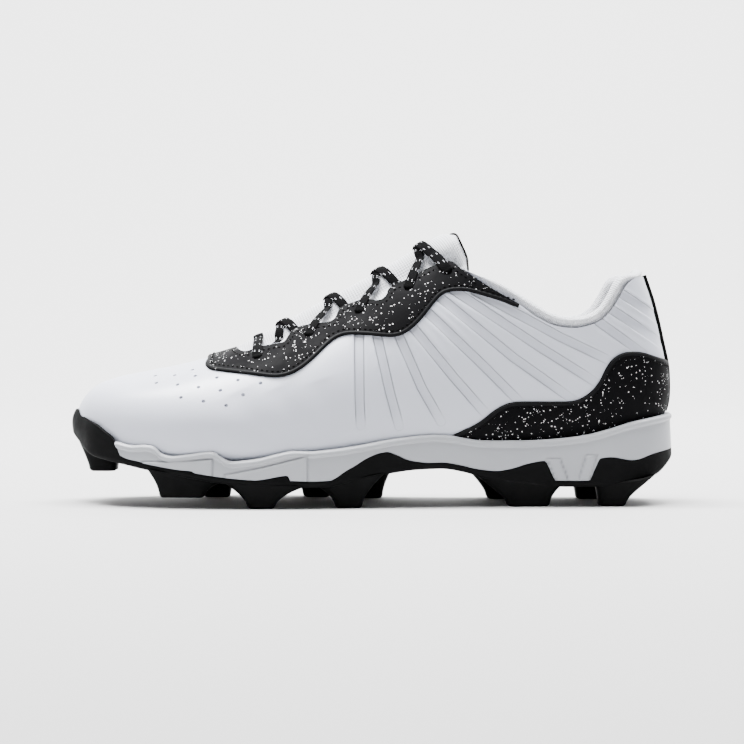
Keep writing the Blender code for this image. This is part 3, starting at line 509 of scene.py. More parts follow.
# Colours
WHITE = (0.54, 0.56, 0.635)
# Painted shade: grey on the floor of the quarter's pressed channels, where shade falls
CHANNEL_SHADE_GREY = (0.44, 0.455, 0.52)
# Painted shade: a thin dark line along the walls of the channels
CHANNEL_WALL_SHADE = (0.19, 0.20, 0.22)
LINING = (0.62, 0.63, 0.65)
CHARCOAL = (0.0029, 0.0029, 0.0034)
SPECK = (0.72, 0.72, 0.73)
THREAD = (0.0006, 0.0006, 0.0006)
# Black of the trim, also used for the painted shadow lines under the film edges
TRIM_AND_SHADOW_BLACK = (0.0012, 0.0012, 0.0012)
LIP = (0.0040, 0.0041, 0.0047)
KNIT = (0.70, 0.71, 0.745)
LACE_BLACK = (0.0022, 0.0022, 0.0025)
LACE_REPEAT = 0.0076
LACE_FLAT = 0.0011
LACE_BAND = 0.0052
LACE_SINK = 0.25
# Depth of a lace end inside an eyelet, and its height over the last where it leaves one
LACE_DEPTHS = (0.0045, 0.0010)
# Low and high end of the lace that fills an eyelet, from the last
LACE_PLUG = (-0.0022, 0.0007)
MIDSOLE_GREY = (0.345, 0.355, 0.38)
RUBBER = (0.0030, 0.0031, 0.0033)
FOOTBED = (0.70, 0.70, 0.72)
FLOOR_WHITE = (0.45, 0.45, 0.45)

# Camera and light
SENSOR = 36.0
FRAME_PIXELS = 744
FOCAL_PIXELS = 2800
CAMERA_PLACE = (0.0, -1.400, 0.100)
CAMERA_AIM = (0.0, 0.0, 0.065)
# Seamless backdrop: half width, front, start of the curve, its radius, height
BACKDROP = (6.0, -5.0, 1.3, 1.6, 4.5)
WORLD_LIGHT = 0.20
# Soft boxes. Columns: name, place, aim, size, power
LIGHTS = (
    ("key", (-0.30, -0.20, 1.5), (0, 0, 0.05), (1.0, 0.6), 60),
    ("front", (0.4, -1.9, 1.0), (0, 0, 0.06), (1.8, 0.7), 1),
    ("rim", (0.6, 0.9, 1.0), (0, 0, 0.06), (1.0, 0.6), 12),
    ("backdrop", (0.0, 0.6, 3.2), (0.0, 2.9, 0.6), (4.0, 1.2), 1060),
)


# The last as a surface
SOLE_STACK = STUD_LENGTH + SOLE_THICKNESS
LATERAL = -1
MEDIAL = 1
ARC_SAMPLES = 160


def along_to_x(along):
    return (along - 0.5) * LENGTH


def smooth_rows(rows, places):
    """Catmull-Rom through rows at whole numbers. The first and the last row only guide the ends."""
    padded = np.asarray(rows, dtype=float)
    places = np.clip(np.asarray(places, dtype=float), 0, len(padded) - 3)
    lower = np.minimum(places.astype(int), len(padded) - 4)
    part = (places - lower)[:, None]
    a, b, c, d = (padded[lower + step] for step in range(4))
    return b + 0.5 * part * (c - a + part * (2 * a - 5 * b + 4 * c - d + part * (3 * (b - c) + d - a)))


def smooth_path(rows, count):
    """A smooth line through every row of a table, at even steps of its length."""
    return even_steps(smooth_rows(with_ends(rows), np.linspace(0, len(rows) - 1, 24 * len(rows))), count)


def with_ends(rows):
    """The rows with one more at each end, which only guides the line."""
    rows = np.asarray(rows, dtype=float)
    return np.vstack([2 * rows[0] - rows[1], rows, 2 * rows[-1] - rows[-2]])


def run_lengths(points):
    """Length of a line up to each of its points."""
    return np.concatenate([[0], np.cumsum(np.linalg.norm(np.diff(points, axis=0), axis=1))])


def unit(rows):
    """Rows brought to length one."""
    return rows / (np.linalg.norm(rows, axis=-1, keepdims=True) + TINY)


def at_lengths(rows, arc, wanted):
    """Rows of a line at the wanted lengths along it."""
    return np.column_stack([np.interp(wanted, arc, column) for column in rows.T])


def even_steps(points, count):
    """The same line at even steps of its length."""
    arc = run_lengths(points)
    return at_lengths(points, arc, np.linspace(0, arc[-1], count))


def smooth_curve(table, x, column=1):
    """Monotone cubic through a table whose first column rises."""
    table = np.asarray(table, dtype=float)
    knots = table[:, 0]
    values = table[:, column]
    step = np.diff(knots)
    slope = np.diff(values) / step
    same = slope[:-1] * slope[1:] > 0
    inner = np.where(same, 2 * slope[:-1] * slope[1:] / np.where(same, slope[:-1] + slope[1:], 1), 0)
    tangent = np.concatenate([[slope[0]], inner, [slope[-1]]])
    x = np.clip(x, knots[0], knots[-1])
    lower = np.clip(np.searchsorted(knots, x) - 1, 0, len(step) - 1)
    part = (x - knots[lower]) / step[lower]
    width = step[lower]
    return (values[lower] * (1 + 2 * part) * (1 - part) ** 2 + values[lower + 1] * part ** 2 * (3 - 2 * part)
            + width * tangent[lower] * part * (1 - part) ** 2
            + width * tangent[lower + 1] * part ** 2 * (part - 1))


def ramp(value, start, end):
    """Nought before the start, one after the end, with soft corners."""
    part = np.clip((value - start) / (end - start), 0, 1)
    return part * part * (3 - 2 * part)


def blend(first, last, part):
    return first + (last - first) * part


def base_height(along):
    """Height of the last's bottom over the ground."""
    spring = smooth_curve(BASE_RISE, along, 1) * TOE_SPRING
    lift = smooth_curve(BASE_RISE, along, 2) * HEEL_LIFT
    return SOLE_STACK + spring + lift


def section_rows():
    """The section tables in metres, one row a section."""
    rows = []
    for table, width in ((BALL_SECTIONS, BALL_WIDTH), (HEEL_SECTIONS, HEEL_WIDTH)):
        for (front_along, front_height, back_along, back_height, spring, lift,
             lateral, medial, widest, crown_power, base_power, swing) in table:
            rise = SOLE_STACK + spring * TOE_SPRING + lift * HEEL_LIFT
            rows.append((along_to_x(front_along), rise + front_height * UPPER_HEIGHT,
                         along_to_x(back_along), rise + back_height * UPPER_HEIGHT,
                         lateral * width, medial * width, widest, crown_power, base_power, swing * width))
    front_x, front_z, back_x, back_z, lateral, medial, *rest = rows[1]
    before = (back_x, back_z, front_x, front_z, -lateral, -medial, *rest)
    after = 2 * np.array(rows[-1]) - np.array(rows[-2])
    return np.vstack([before, rows, after])


LAST_ROWS = section_rows()
LAST_END = len(LAST_ROWS) - 3
TOE_TIP = LAST_ROWS[1]


def half_section(row, side):
    """Dense half loop of one section, from its front point to its back point."""
    front_x, front_z, back_x, back_z, lateral, medial, widest, crown_power, base_power, swing = row
    width = lateral if side == LATERAL else medial
    angle = np.linspace(0, math.pi, ARC_SAMPLES)
    upper = angle <= math.pi / 2
    power = np.where(upper, crown_power, base_power)
    reach = np.where(upper, 1 - widest, widest)
    cosine = np.cos(angle)
    share = widest + reach * np.sign(cosine) * np.abs(cosine) ** (2 / power)
    across = width * np.abs(np.sin(angle)) ** (2 / power)
    return np.column_stack([back_x + (front_x - back_x) * share,
                            swing + side * across,
                            back_z + (front_z - back_z) * share])


def last_points(station, shares, side):
    """Points of the last at one station, by share of arc from the front point."""
    dense = half_section(smooth_rows(LAST_ROWS, [station])[0], side)
    arc = run_lengths(dense)
    return at_lengths(dense, arc, np.abs(np.asarray(shares)) * arc[-1])


def wrap_shares(shares):
    """Signed shares past the back point, counted from the other side."""
    return np.where(shares > 1, shares - 2, np.where(shares < -1, shares + 2, shares))


def last_ring(station, shares):
    """A ring or an arc of the last, by signed shares: lateral below nought, medial above."""
    shares = wrap_shares(shares)
    return np.where((shares <= 0)[:, None], last_points(station, shares, LATERAL),
                    last_points(station, shares, MEDIAL))


def last_ring_with_normals(station, shares):
    """Points and outward normals of the last along one ring."""
    here = last_ring(station, shares)
    along = (last_ring(min(station + STATION_STEP, LAST_END), shares)
             - last_ring(max(station - STATION_STEP, STATION_STEP), shares))
    across = last_ring(station, shares + SHARE_STEP) - last_ring(station, shares - SHARE_STEP)
    normals = unit(np.cross(along, across))
    row = smooth_rows(LAST_ROWS, [station])[0]
    middle = np.array([(row[0] + row[2]) / 2, row[9], (row[1] + row[3]) / 2])
    normals[np.sum(normals * (here - middle), axis=1) < 0] *= -1
    return here, normals


STATION_STEP = 0.02
SHARE_STEP = 0.004


GRID_STATIONS = np.linspace(0.1, LAST_END, 420)
GRID_SHARES = np.linspace(-1.0, 1.0, 361)
GRID = np.array([np.hstack(last_ring_with_normals(station, GRID_SHARES)) for station in GRID_STATIONS])


def surface(stations, shares):
    """Points and outward normals of the last at arrays of stations and signed shares."""
    stations = np.asarray(stations, dtype=float)
    shares = wrap_shares(np.asarray(shares, dtype=float))
    row = np.clip((stations - GRID_STATIONS[0]) / (GRID_STATIONS[1] - GRID_STATIONS[0]),
                  0, len(GRID_STATIONS) - 1.001)
    column = np.clip((shares + 1) / (GRID_SHARES[1] - GRID_SHARES[0]), 0, len(GRID_SHARES) - 1.001)
    low = row.astype(int)
    left = column.astype(int)
    down = (row - low)[..., None]
    over = (column - left)[..., None]
    values = ((GRID[low, left] * (1 - over) + GRID[low, left + 1] * over) * (1 - down)
              + (GRID[low + 1, left] * (1 - over) + GRID[low + 1, left + 1] * over) * down)
    return values[..., :3], unit(values[..., 3:])


def surface_point(station, share, offset=0.0):
    """One point of the last, moved out along its normal."""
    point, normal = surface(station, share)
    return point + normal * offset


def arc_length(station, side):
    return run_lengths(half_section(smooth_rows(LAST_ROWS, [station])[0], side))[-1]


class SideMap:
    """Finds the last's surface point that shows at a place of the side view."""

    def __init__(self, side):
        self.side = side
        self.stations = np.linspace(1.0, LAST_END, MAP_STATIONS)
        self.shares = np.linspace(0.0, 0.97, MAP_SHARES)
        self.grid = np.array([last_points(station, self.shares, side) for station in self.stations])
        self.tree = KDTree(MAP_STATIONS * MAP_SHARES)
        for index, point in enumerate(self.grid.reshape(-1, 3)):
            self.tree.insert((point[0], 0.0, point[2]), index)
        self.tree.balance()

    def place(self, x, z):
        """Station and signed share at a side view place."""
        _, index, _ = self.tree.find((x, 0.0, z))
        row, column = divmod(index, MAP_SHARES)
        row = min(max(row, 1), MAP_STATIONS - 2)
        column = min(max(column, 1), MAP_SHARES - 2)
        here = self.grid[row, column][[0, 2]]
        along = (self.grid[row + 1, column] - self.grid[row - 1, column])[[0, 2]] / 2
        across = (self.grid[row, column + 1] - self.grid[row, column - 1])[[0, 2]] / 2
        matrix = np.column_stack([along, across])
        shift = np.linalg.lstsq(matrix, np.array([x, z]) - here, rcond=0.05)[0].clip(-1.5, 1.5)
        station = self.stations[row] + shift[0] * (self.stations[1] - self.stations[0])
        share = self.shares[column] + shift[1] * (self.shares[1] - self.shares[0])
        return min(max(station, 0.2), LAST_END), max(share, 0.002) * self.side


MAP_STATIONS = 260
MAP_SHARES = 160
SIDE_MAPS = {side: SideMap(side) for side in (LATERAL, MEDIAL)}


def side_line(table, count):
    """A side view table as a smooth line of x and z."""
    path = smooth_path(table, count)
    return np.column_stack([along_to_x(path[:, 0]), base_height(path[:, 0]) + path[:, 1] * UPPER_HEIGHT])


def line_places(line, side):
    """Stations and signed shares of a side view line of x and z."""
    return np.array([SIDE_MAPS[side].place(x, z) for x, z in line])


def line_on_last(line, side):
    """A side view line laid on the last: points and outward normals."""
    return surface(*line_places(line, side).T)


# Mesh helpers
def new_object(name, points, faces):
    mesh = bpy.data.meshes.new(name)
    mesh.from_pydata(np.asarray(points, dtype=float).tolist(), [], faces)
    mesh.validate()
    item = bpy.data.objects.new(name, mesh)
    bpy.context.scene.collection.objects.link(item)
    return item


def face_out(item):
    work = bmesh.new()
    work.from_mesh(item.data)
    bmesh.ops.remove_doubles(work, verts=work.verts, dist=WELD)
    bmesh.ops.recalc_face_normals(work, faces=work.faces)
    work.to_mesh(item.data)
    work.free()
    return item


def ring_faces(rings, count, start=0):
    """Faces between closed rings of points."""
    faces = []
    for first in range(start, start + (rings - 1) * count, count):
        for place in range(count):
            here = first + place
            beside = first + (place + 1) % count
            faces.append((here, beside, beside + count, here + count))
    return faces


def tube_faces(rings, count, start=0):
    """Faces of closed rings and of the caps at both ends."""
    stop = start + rings * count
    return ring_faces(rings, count, start) + [tuple(range(start, start + count)),
                                              tuple(range(stop - 1, stop - count - 1, -1))]


def lay_uv(item, place):
    """A UV map whose place is worked out from each corner's vertex."""
    layer = item.data.uv_layers.new(name="run")
    for loop in item.data.loops:
        layer.data[loop.index].uv = place(loop.vertex_index)


def loop_shares(count):
    """Signed shares of arc once round a section: front point, lateral side, back point, medial side."""
    half = count // 2
    down = [-step / half for step in range(half + 1)]
    up = [step / half for step in range(half - 1, 0, -1)]
    return np.array(down + up)


# Where the upper's mesh is finer. Each part of the rings reaches a share of the stations.
FINE_PARTS = (0.0, 0.06, 0.30, 1.0)
FINE_STATIONS = (0.0, 0.12, 0.42, 1.0)


def form(name, offset, stations=110, points=90, relief=None):
    """The closed last, grown or shrunk by an offset and by a relief that follows the place."""
    shares = loop_shares(points)
    even = np.linspace(0, 1, stations)
    places = even ** TOE_FINENESS if relief is None else np.interp(even, FINE_PARTS, FINE_STATIONS)
    rings = [np.array([[TOE_TIP[0] - offset, TOE_TIP[9], TOE_TIP[1]]])]
    for station in places[1:] * LAST_END:
        ring, normals = last_ring_with_normals(station, shares)
        rise = offset if relief is None else (offset + relief(ring))[:, None]
        rings.append(ring + normals * rise)
    rings[-1] = rings[-1] + np.array([0.0, 0.0, max(offset, -UPPER_WALL)])
    everything = np.vstack(rings)
    top = len(everything) - points
    faces = ring_faces(stations - 1, points, start=1)
    faces += [(0, 1 + place, 1 + (place + 1) % points) for place in range(points)]
    faces.append(tuple(range(top, top + points)))
    return face_out(new_object(name, everything, faces))


def boolean(item, tool, operation):
    """Cut, join or keep what two solids share, then drop the tool."""
    modifier = item.modifiers.new(operation.lower(), "BOOLEAN")
    modifier.operation = operation
    modifier.solver = "EXACT"
    modifier.object = tool
    bpy.context.view_layer.update()
    evaluated = item.evaluated_get(bpy.context.evaluated_depsgraph_get())
    mesh = bpy.data.meshes.new_from_object(evaluated)
    item.modifiers.clear()
    item.data = mesh
    bpy.data.objects.remove(tool, do_unlink=True)
    return item


def prism(name, outline, half_width):
    """A side view outline of x and z, drawn out along Y."""
    points = [(x, y, z) for y in (-half_width, half_width) for x, z in outline]
    return face_out(new_object(name, points, tube_faces(2, len(outline))))


def cut_off(name, line, level, more=0.0):
    """Everything between a side view line of x and z and a level, with its far end wider by some more."""
    line = [tuple(point) for point in line]
    return prism(name, line + [(line[-1][0] + more, level), (line[0][0] - more, level)], LENGTH)


SKY = 3 * UPPER_HEIGHT


def sweep(name, points, normals, profile):
    """A profile of across and out steps drawn along a line. Its UV map has metres along and a share round."""
    count = len(points)
    tangents = unit(np.gradient(points, axis=0))
    normals = unit(normals - tangents * np.sum(normals * tangents, axis=1)[:, None])
    across = np.cross(normals, tangents)
    rings = [points[place] + profile[:, :1] * across[place] + profile[:, 1:] * normals[place]
             for place in range(count)]
    sides = len(profile)
    item = new_object(name, np.vstack(rings), tube_faces(count, sides))
    arc = run_lengths(points)
    layer = item.data.uv_layers.new(name="run")
    for face in item.data.polygons:
        corners = [item.data.loops[index].vertex_index for index in face.loop_indices]
        wraps = {corner % sides for corner in corners} == {0, sides - 1}
        for index, corner in zip(face.loop_indices, corners):
            side = corner % sides
            around = 1.0 if wraps and side == 0 else side / sides
            layer.data[index].uv = (arc[corner // sides], around)
    return item


def oval(width, height, sides, power=2.0):
    """A rounded profile, counted so that its faces point out."""
    angle = np.linspace(0, 2 * math.pi, sides, endpoint=False)
    cosine = np.cos(angle)
    sine = np.sin(angle)
    return np.column_stack([np.sign(cosine) * np.abs(cosine) ** (2 / power) * width / 2,
                            np.sign(sine) * np.abs(sine) ** (2 / power) * height / 2])


# Relief of the upper, in side view places
def segment_distance(x, z, first, last):
    """Distance in the side view to a straight piece, and the part of it that is nearest."""
    dx = last[0] - first[0]
    dz = last[1] - first[1]
    part = np.clip(((x - first[0]) * dx + (z - first[1]) * dz) / (dx * dx + dz * dz), 0, 1)
    return np.hypot(x - first[0] - dx * part, z - first[1] - dz * part), part


def side_xz(along, height):
    return along_to_x(along), float(base_height(along)) + height * UPPER_HEIGHT


def channel_gaps(points):
    """Distance of each point from the middle of the nearest channel, and how far that channel has faded."""
    nearest = np.full(len(points), 1.0)
    fade = np.zeros(len(points))
    for path in CHANNELS:
        line = [side_xz(along, height) for along, height in path]
        for number, (first, last) in enumerate(zip(line[:-1], line[1:])):
            gap, part = segment_distance(points[:, 0], points[:, 2], first, last)
            closer = gap < nearest
            strength = 1 - ramp(part, 0.45, 1.0) * (number == len(line) - 2) * CHANNEL_FADE
            nearest = np.where(closer, gap, nearest)
            fade = np.where(closer, strength, fade)
    return nearest, fade


def channel_depth(points):
    """How deep each point lies in the quarter's channels, nought to one, and how high on their rims."""
    nearest, fade = channel_gaps(points)
    half = CHANNEL_WIDTH / 2
    deep = (1 - ramp(nearest, half - CHANNEL_EDGE, half + CHANNEL_EDGE)) * fade
    rim = np.exp(-((nearest - half - CHANNEL_EDGE) / CHANNEL_RIM) ** 2) * fade
    return deep, rim


def upper_relief(points):
    """Channels, puffed panels and soft folds of the upper, as a rise in metres."""
    deep, rim = channel_depth(points)
    rise = RIM_HEIGHT * rim - CHANNEL_DEPTH * deep
    for start_along, start_height, end_along, end_height, half_width, depth in FOLDS:
        gap, part = segment_distance(points[:, 0], points[:, 2], side_xz(start_along, start_height),
                                     side_xz(end_along, end_height))
        ends = np.sin(np.clip(part, 0, 1) * math.pi) ** 0.5
        rise = rise - depth * np.exp(-(gap / half_width) ** 2) * ends
    return rise


def set_attribute(item, name, values):
    """A number for each vertex, for the materials to read."""
    layer = item.data.attributes.new(name, "FLOAT", "POINT")
    layer.data.foreach_set("value", np.asarray(values, dtype=np.float32))


def vertex_array(item):
    flat = np.empty(len(item.data.vertices) * 3)
    item.data.vertices.foreach_get("co", flat)
    return flat.reshape(-1, 3)


def pins(name, places, radius, low, high, sides=16):
    """Short pins through the last's surface, one at each station and share."""
    points = []
    faces = []
    for station, share in places:
        foot, head = (Vector(surface_point(station, share, level)) for level in (low, high))
        axis = (head - foot).normalized()
        first = axis.orthogonal().normalized() * radius
        second = axis.cross(first)
        faces += tube_faces(2, sides, len(points))
        for end in (foot, head):
            for corner in range(sides):
                angle = 2 * math.pi * corner / sides
                points.append(end + first * math.cos(angle) + second * math.sin(angle))
    return face_out(new_object(name, points, faces))


def table_places(table, sides=(LATERAL, MEDIAL)):
    return [SIDE_MAPS[side].place(*side_xz(along, height)) for side in sides for along, height in table]


def sole_loop(inset, count=SOLE_FINE):
    """Plan loop of the sole, moved inwards, as along, x and y: toe tip, lateral side, heel, medial side."""
    rows = []
    for table, width in ((BALL_PLAN, BALL_WIDTH), (HEEL_PLAN, HEEL_WIDTH)):
        rows += [(along, (medial - lateral) / 2 * width, (medial + lateral) / 2 * width)
                 for along, lateral, medial in table]
    rows = [(rows[1][0], rows[1][1], -rows[1][2])] + rows + [(rows[-2][0], rows[-2][1], -rows[-2][2])]
    stations = smooth_rows(rows, np.linspace(0, 1, count) * (len(rows) - 3))
    x = along_to_x(stations[:, 0])
    lateral = np.column_stack([x, stations[:, 1] - stations[:, 2]])
    medial = np.column_stack([x, stations[:, 1] + stations[:, 2]])
    loop = np.vstack([lateral, medial[-2:0:-1]])
    tangent = np.roll(loop, -1, axis=0) - np.roll(loop, 1, axis=0)
    normal = unit(np.column_stack([-tangent[:, 1], tangent[:, 0]]))
    moved = loop + normal * np.asarray(inset).reshape(-1, 1)
    return np.concatenate([stations[:, 0], stations[-2:0:-1, 0]]), moved


def ladder_cap(first, count):
    """Faces that close a plan loop from one side to the other."""
    half = count // 2
    faces = [(first, first + 1, first + count - 1)]
    for step in range(1, half - 1):
        faces.append((first + step, first + step + 1, first + count - step - 1, first + count - step))
    faces.append((first + half - 1, first + half, first + half + 1))
    return faces


def plan_solid(name, levels):
    """A closed solid from plan loops, each given by its insets and its heights, bottom to top."""
    points = np.vstack([np.column_stack([sole_loop(insets)[1], heights]) for insets, heights in levels])
    count = len(points) // len(levels)
    faces = ring_faces(len(levels), count)
    faces += ladder_cap(0, count) + ladder_cap((len(levels) - 1) * count, count)
    return face_out(new_object(name, points, faces))


def bite_height(along):
    return base_height(along) + smooth_curve(BITE_LINE, along) * CUP_HEIGHT


def underside_height(along):
    return base_height(along) - smooth_curve(UNDERSIDE, along) * SOLE_THICKNESS


def rubber_top(along):
    """Top of the rubber at the wall, always a step over the plate."""
    line = base_height(along) + smooth_curve(RUBBER_LINE, along) * CUP_HEIGHT
    return np.maximum(line, underside_height(along) + PLATE_THICKNESS + RUBBER_STEP)


def wall_inset(along, height):
    foot = underside_height(along) + BOTTOM_ROUND
    return np.maximum(height - foot, 0) * WALL_LEAN


def rubber_zone(name, grow):
    """Tray that the rubber fills: under the plate line inside, under the rubber line at the wall."""
    along = sole_loop(0.0)[0]
    bottom = underside_height(along) - 3 * SOLE_STACK
    wall_top = rubber_top(along) + grow
    floor = underside_height(along) + PLATE_THICKNESS + grow
    outside = -3 * BOTTOM_ROUND
    inside = wall_inset(along, wall_top) + RUBBER_WALL + grow
    return plan_solid(name, [(outside, bottom), (outside, wall_top), (inside, wall_top), (inside, floor)])


def build_upper():
    item = form("shoe_upper", 0.0, *UPPER_FINE, upper_relief)
    boolean(item, form("hollow", -UPPER_WALL), "DIFFERENCE")
    boolean(item, cut_off("opening", side_line(TOPLINE, 170), SKY), "DIFFERENCE")
    floor = base_height(sole_loop(0.0)[0])
    levels = [(LASTING_MARGIN, floor - SOLE_STACK), (LASTING_MARGIN, floor + LASTING_MARGIN / 2)]
    boolean(item, plan_solid("underneath", levels), "DIFFERENCE")
    boolean(item, pins("holes", table_places(EYELETS), EYELET_RADIUS, -2 * UPPER_WALL, UPPER_WALL),
            "DIFFERENCE")
    boolean(item, pins("perforations", table_places(PERFORATIONS), PERFORATION / 2,
                       -0.9 * UPPER_WALL, UPPER_WALL, 10), "DIFFERENCE")
    set_attribute(item, "fade", channel_gaps(vertex_array(item))[1])
    return item


def mark_lining(item, outer, depth):
    """Faces deeper than the wall's middle take the second material."""
    tree = BVHTree.FromObject(outer, bpy.context.evaluated_depsgraph_get())
    for face in item.data.polygons:
        if tree.find_nearest(face.center)[3] > depth:
            face.material_index = 1


def film(name):
    """A thin layer over the upper, a clearance away from it."""
    item = form(name, CLEARANCE + OVERLAY_THICKNESS, *FILM_FINE)
    return boolean(item, form("under", CLEARANCE), "DIFFERENCE")


def build_eyestay():
    item = film("speckled_eyestay")
    boolean(item, cut_off("patch", side_line(EYESTAY_EDGE, 140), SKY, CLEARANCE), "INTERSECT")
    boolean(item, cut_off("opening", side_line(TOPLINE, 170), SKY), "DIFFERENCE")
    boolean(item, pins("holes", table_places(EYELETS), EYELET_RADIUS, -2 * UPPER_WALL,
                       3 * UPPER_WALL, 20), "DIFFERENCE")
    return item


def build_counter():
    item = film("speckled_counter")
    boolean(item, cut_off("patch", side_line(COUNTER_EDGE, 120), -SKY), "INTERSECT")
    along = np.linspace(COUNTER_EDGE[0][0] - 0.01, COUNTER_EDGE[-1][0], 120)
    line = np.column_stack([along_to_x(along), bite_height(along) - 0.001])
    boolean(item, cut_off("midsole_edge", line, -SKY), "DIFFERENCE")
    return item


def side_path(table, side, offset, inward=0.0, count=260):
    """A side view edge laid on one side of the last: points and normals."""
    line = side_line(table, count)
    if inward:
        step = unit(np.gradient(line, axis=0))
        line = line + np.column_stack([step[:, 1], -step[:, 0]]) * inward
    line = line - line_on_last(line, side)[1][:, [0, 2]] * offset
    points, normals = line_on_last(line, side)
    seen = np.hypot(points[:, 0] - line[:, 0], points[:, 2] - line[:, 1]) < EDGE_MATCH
    return points[seen] + normals[seen] * offset, normals[seen]


def back_path(low, high, offset):
    """Points and normals on the back seam between two heights."""
    points, normals = surface(np.linspace(LAST_END - 5, LAST_END, 240), np.full(240, -1.0))
    normals = normals * np.array([1, 0, 1])
    seen = (points[:, 2] > low) & (points[:, 2] < high)
    return points[seen] + normals[seen] * offset, normals[seen]


def edge_path(table, offset, inward=0.0, over="front", count=260):
    """A side view edge laid on both sides of the last and joined over the front or round the heel."""
    first, last = (np.hstack(side_path(table, side, offset, inward)) for side in (LATERAL, MEDIAL))
    if over == "front":
        first = first[::-1]
    else:
        last = last[::-1]
    both = np.vstack([first, np.hstack(bridge_over(first[-1, :3], last[0, :3], offset)), last])
    arc = run_lengths(both[:, :3])
    even = smooth_along(at_lengths(both, arc, np.linspace(0, arc[-1], 2 * count)), 5)
    return even[:, :3], even[:, 3:]


def bridge_over(first, last, offset, count=14):
    """Points between two places on opposite sides, pressed onto the last."""
    flat = GRID.reshape(-1, 6)
    places = []
    for part in np.linspace(0, 1, count)[1:-1]:
        point = blend(first, last, part)
        near = np.abs(flat[:, 1] - point[1]) < abs(first[1]) * 0.25 + 0.002
        gap = np.where(near, np.linalg.norm(flat[:, :3] - point, axis=1), 1.0)
        places.append(flat[int(np.argmin(gap))])
    places = np.array(places)
    return places[:, :3] + places[:, 3:] * offset, places[:, 3:]


def stitches(name, points, normals):
    """A row of short threads along a line."""
    both = np.hstack([points, normals])
    arc = run_lengths(points)
    corners = []
    faces = []
    for start in np.arange(STITCH_PITCH, arc[-1] - STITCH_PITCH, STITCH_PITCH):
        rows = at_lengths(both, arc, np.linspace(start, start + STITCH_LENGTH, len(STITCH_SHAPE)))
        tangent = unit(rows[-1, :3] - rows[0, :3])
        faces += tube_faces(len(STITCH_SHAPE), STITCH_SIDES, len(corners))
        for row, (fill, lift) in zip(rows, STITCH_SHAPE):
            out = unit(row[3:])
            across = np.cross(out, tangent)
            for angle in np.linspace(0, 2 * math.pi, STITCH_SIDES, endpoint=False):
                reach = (across * math.cos(angle) + out * math.sin(angle)) * fill
                corners.append(row[:3] + (out * lift + reach) * STITCH_RADIUS)
    return face_out(new_object(name, corners, faces))


def build_strip():
    """Black strip down the back seam, on down behind the counter."""
    points, normals = back_path(side_xz(1.0, COUNTER_EDGE[-1][1])[1] - 0.022,
                                side_xz(*TOPLINE[-2])[1] + 0.0005,
                                CLEARANCE + OVERLAY_THICKNESS * 0.5)
    both = even_steps(np.hstack([points, normals]), 120)
    profile = np.array([(-0.5, -0.8), (-0.5, 0.6), (-0.42, 1.0), (0.0, 1.15), (0.42, 1.0), (0.5, 0.6),
                        (0.5, -0.8)])
    profile = profile[::-1] * np.array([STRIP_WIDTH * 1.2, STRIP_THICKNESS * 1.5])
    return face_out(sweep("heel_seam_strip", both[:, :3], both[:, 3:], profile))


def tongue_rise(part, share):
    """How far the tongue's face stands over the last, at a part of its length and a share of its width."""
    crest = smooth_curve(TONGUE_CREST, part)
    reach = blend(TONGUE_CROWN, TONGUE_SPREAD, ramp(part, TONGUE_TUCK[1], 1.0))
    crown = np.clip(1 - (np.abs(share) / reach) ** 2, 0, 1) ** 1.1
    under = -UPPER_WALL - TONGUE_CLEARANCE
    tuck = ramp(part, *TONGUE_TUCK) * ramp(np.abs(share), *TONGUE_WING) * (COLLAR_PAD + TONGUE_CLEARANCE)
    return under + (crest - under) * crown - tuck


ARCS = np.array([[arc_length(station, side) for station in GRID_STATIONS] for side in (LATERAL, MEDIAL)])


def arcs_at(stations, shares):
    """Half length round the last at stations, on the side of each share."""
    lateral = np.interp(stations, GRID_STATIONS, ARCS[0])
    return np.where(np.asarray(shares) < 0, lateral, np.interp(stations, GRID_STATIONS, ARCS[1]))


def tongue_points(part, share, rise):
    """Points of the tongue. Its top end has round corners."""
    corner = np.clip((part - TONGUE_CORNER) / (1 - TONGUE_CORNER), 0, 1)
    width = TONGUE_HALF_WIDTH * (1 - 0.42 * corner ** 3)
    lean, wing, tuck = TONGUE_LEAN
    lean = lean + wing * ramp(np.abs(share), 0, 0.35) - tuck * share ** 2
    wrap = blend(TONGUE_WRAP * share ** 2, lean, corner ** 2)
    stations = TONGUE_START + (TONGUE_END - TONGUE_START + wrap) * part
    points, normals = surface(stations, share * width / arcs_at(stations, share))
    return points + normals * np.asarray(rise)[..., None]


def tongue_pad(part, share):
    swell = np.sqrt(np.clip(1 - share ** 2, 0, 1)) * blend(0.35, 1, part)
    return TONGUE_EDGE + (TONGUE_PAD - TONGUE_EDGE) * swell


def build_tongue():
    """Padded tongue that swells in the throat, with a rounded edge."""
    row = np.sin(np.linspace(-math.pi / 2, math.pi / 2, 61))
    parts = np.linspace(0, 1, TONGUE_FINE)
    part, share = np.meshgrid(parts, row, indexing="ij")
    rise = tongue_rise(part, share)
    pad = tongue_pad(part, share)
    pinch = 0.5 * ramp(part, 0.965, 1.0)
    outer = tongue_points(part, share, rise - pad * pinch)
    inner = tongue_points(part, share, rise - pad * (1 - pinch))
    points = np.concatenate([outer, inner[:, ::-1]], axis=1)
    count = points.shape[1]
    across = np.concatenate([row, row[::-1]]) * TONGUE_HALF_WIDTH
    item = new_object("knit_tongue", points.reshape(-1, 3), tube_faces(len(points), count))
    lay_uv(item, lambda corner: (parts[corner // count] * TONGUE_RUN, across[corner % count]))
    return face_out(item)


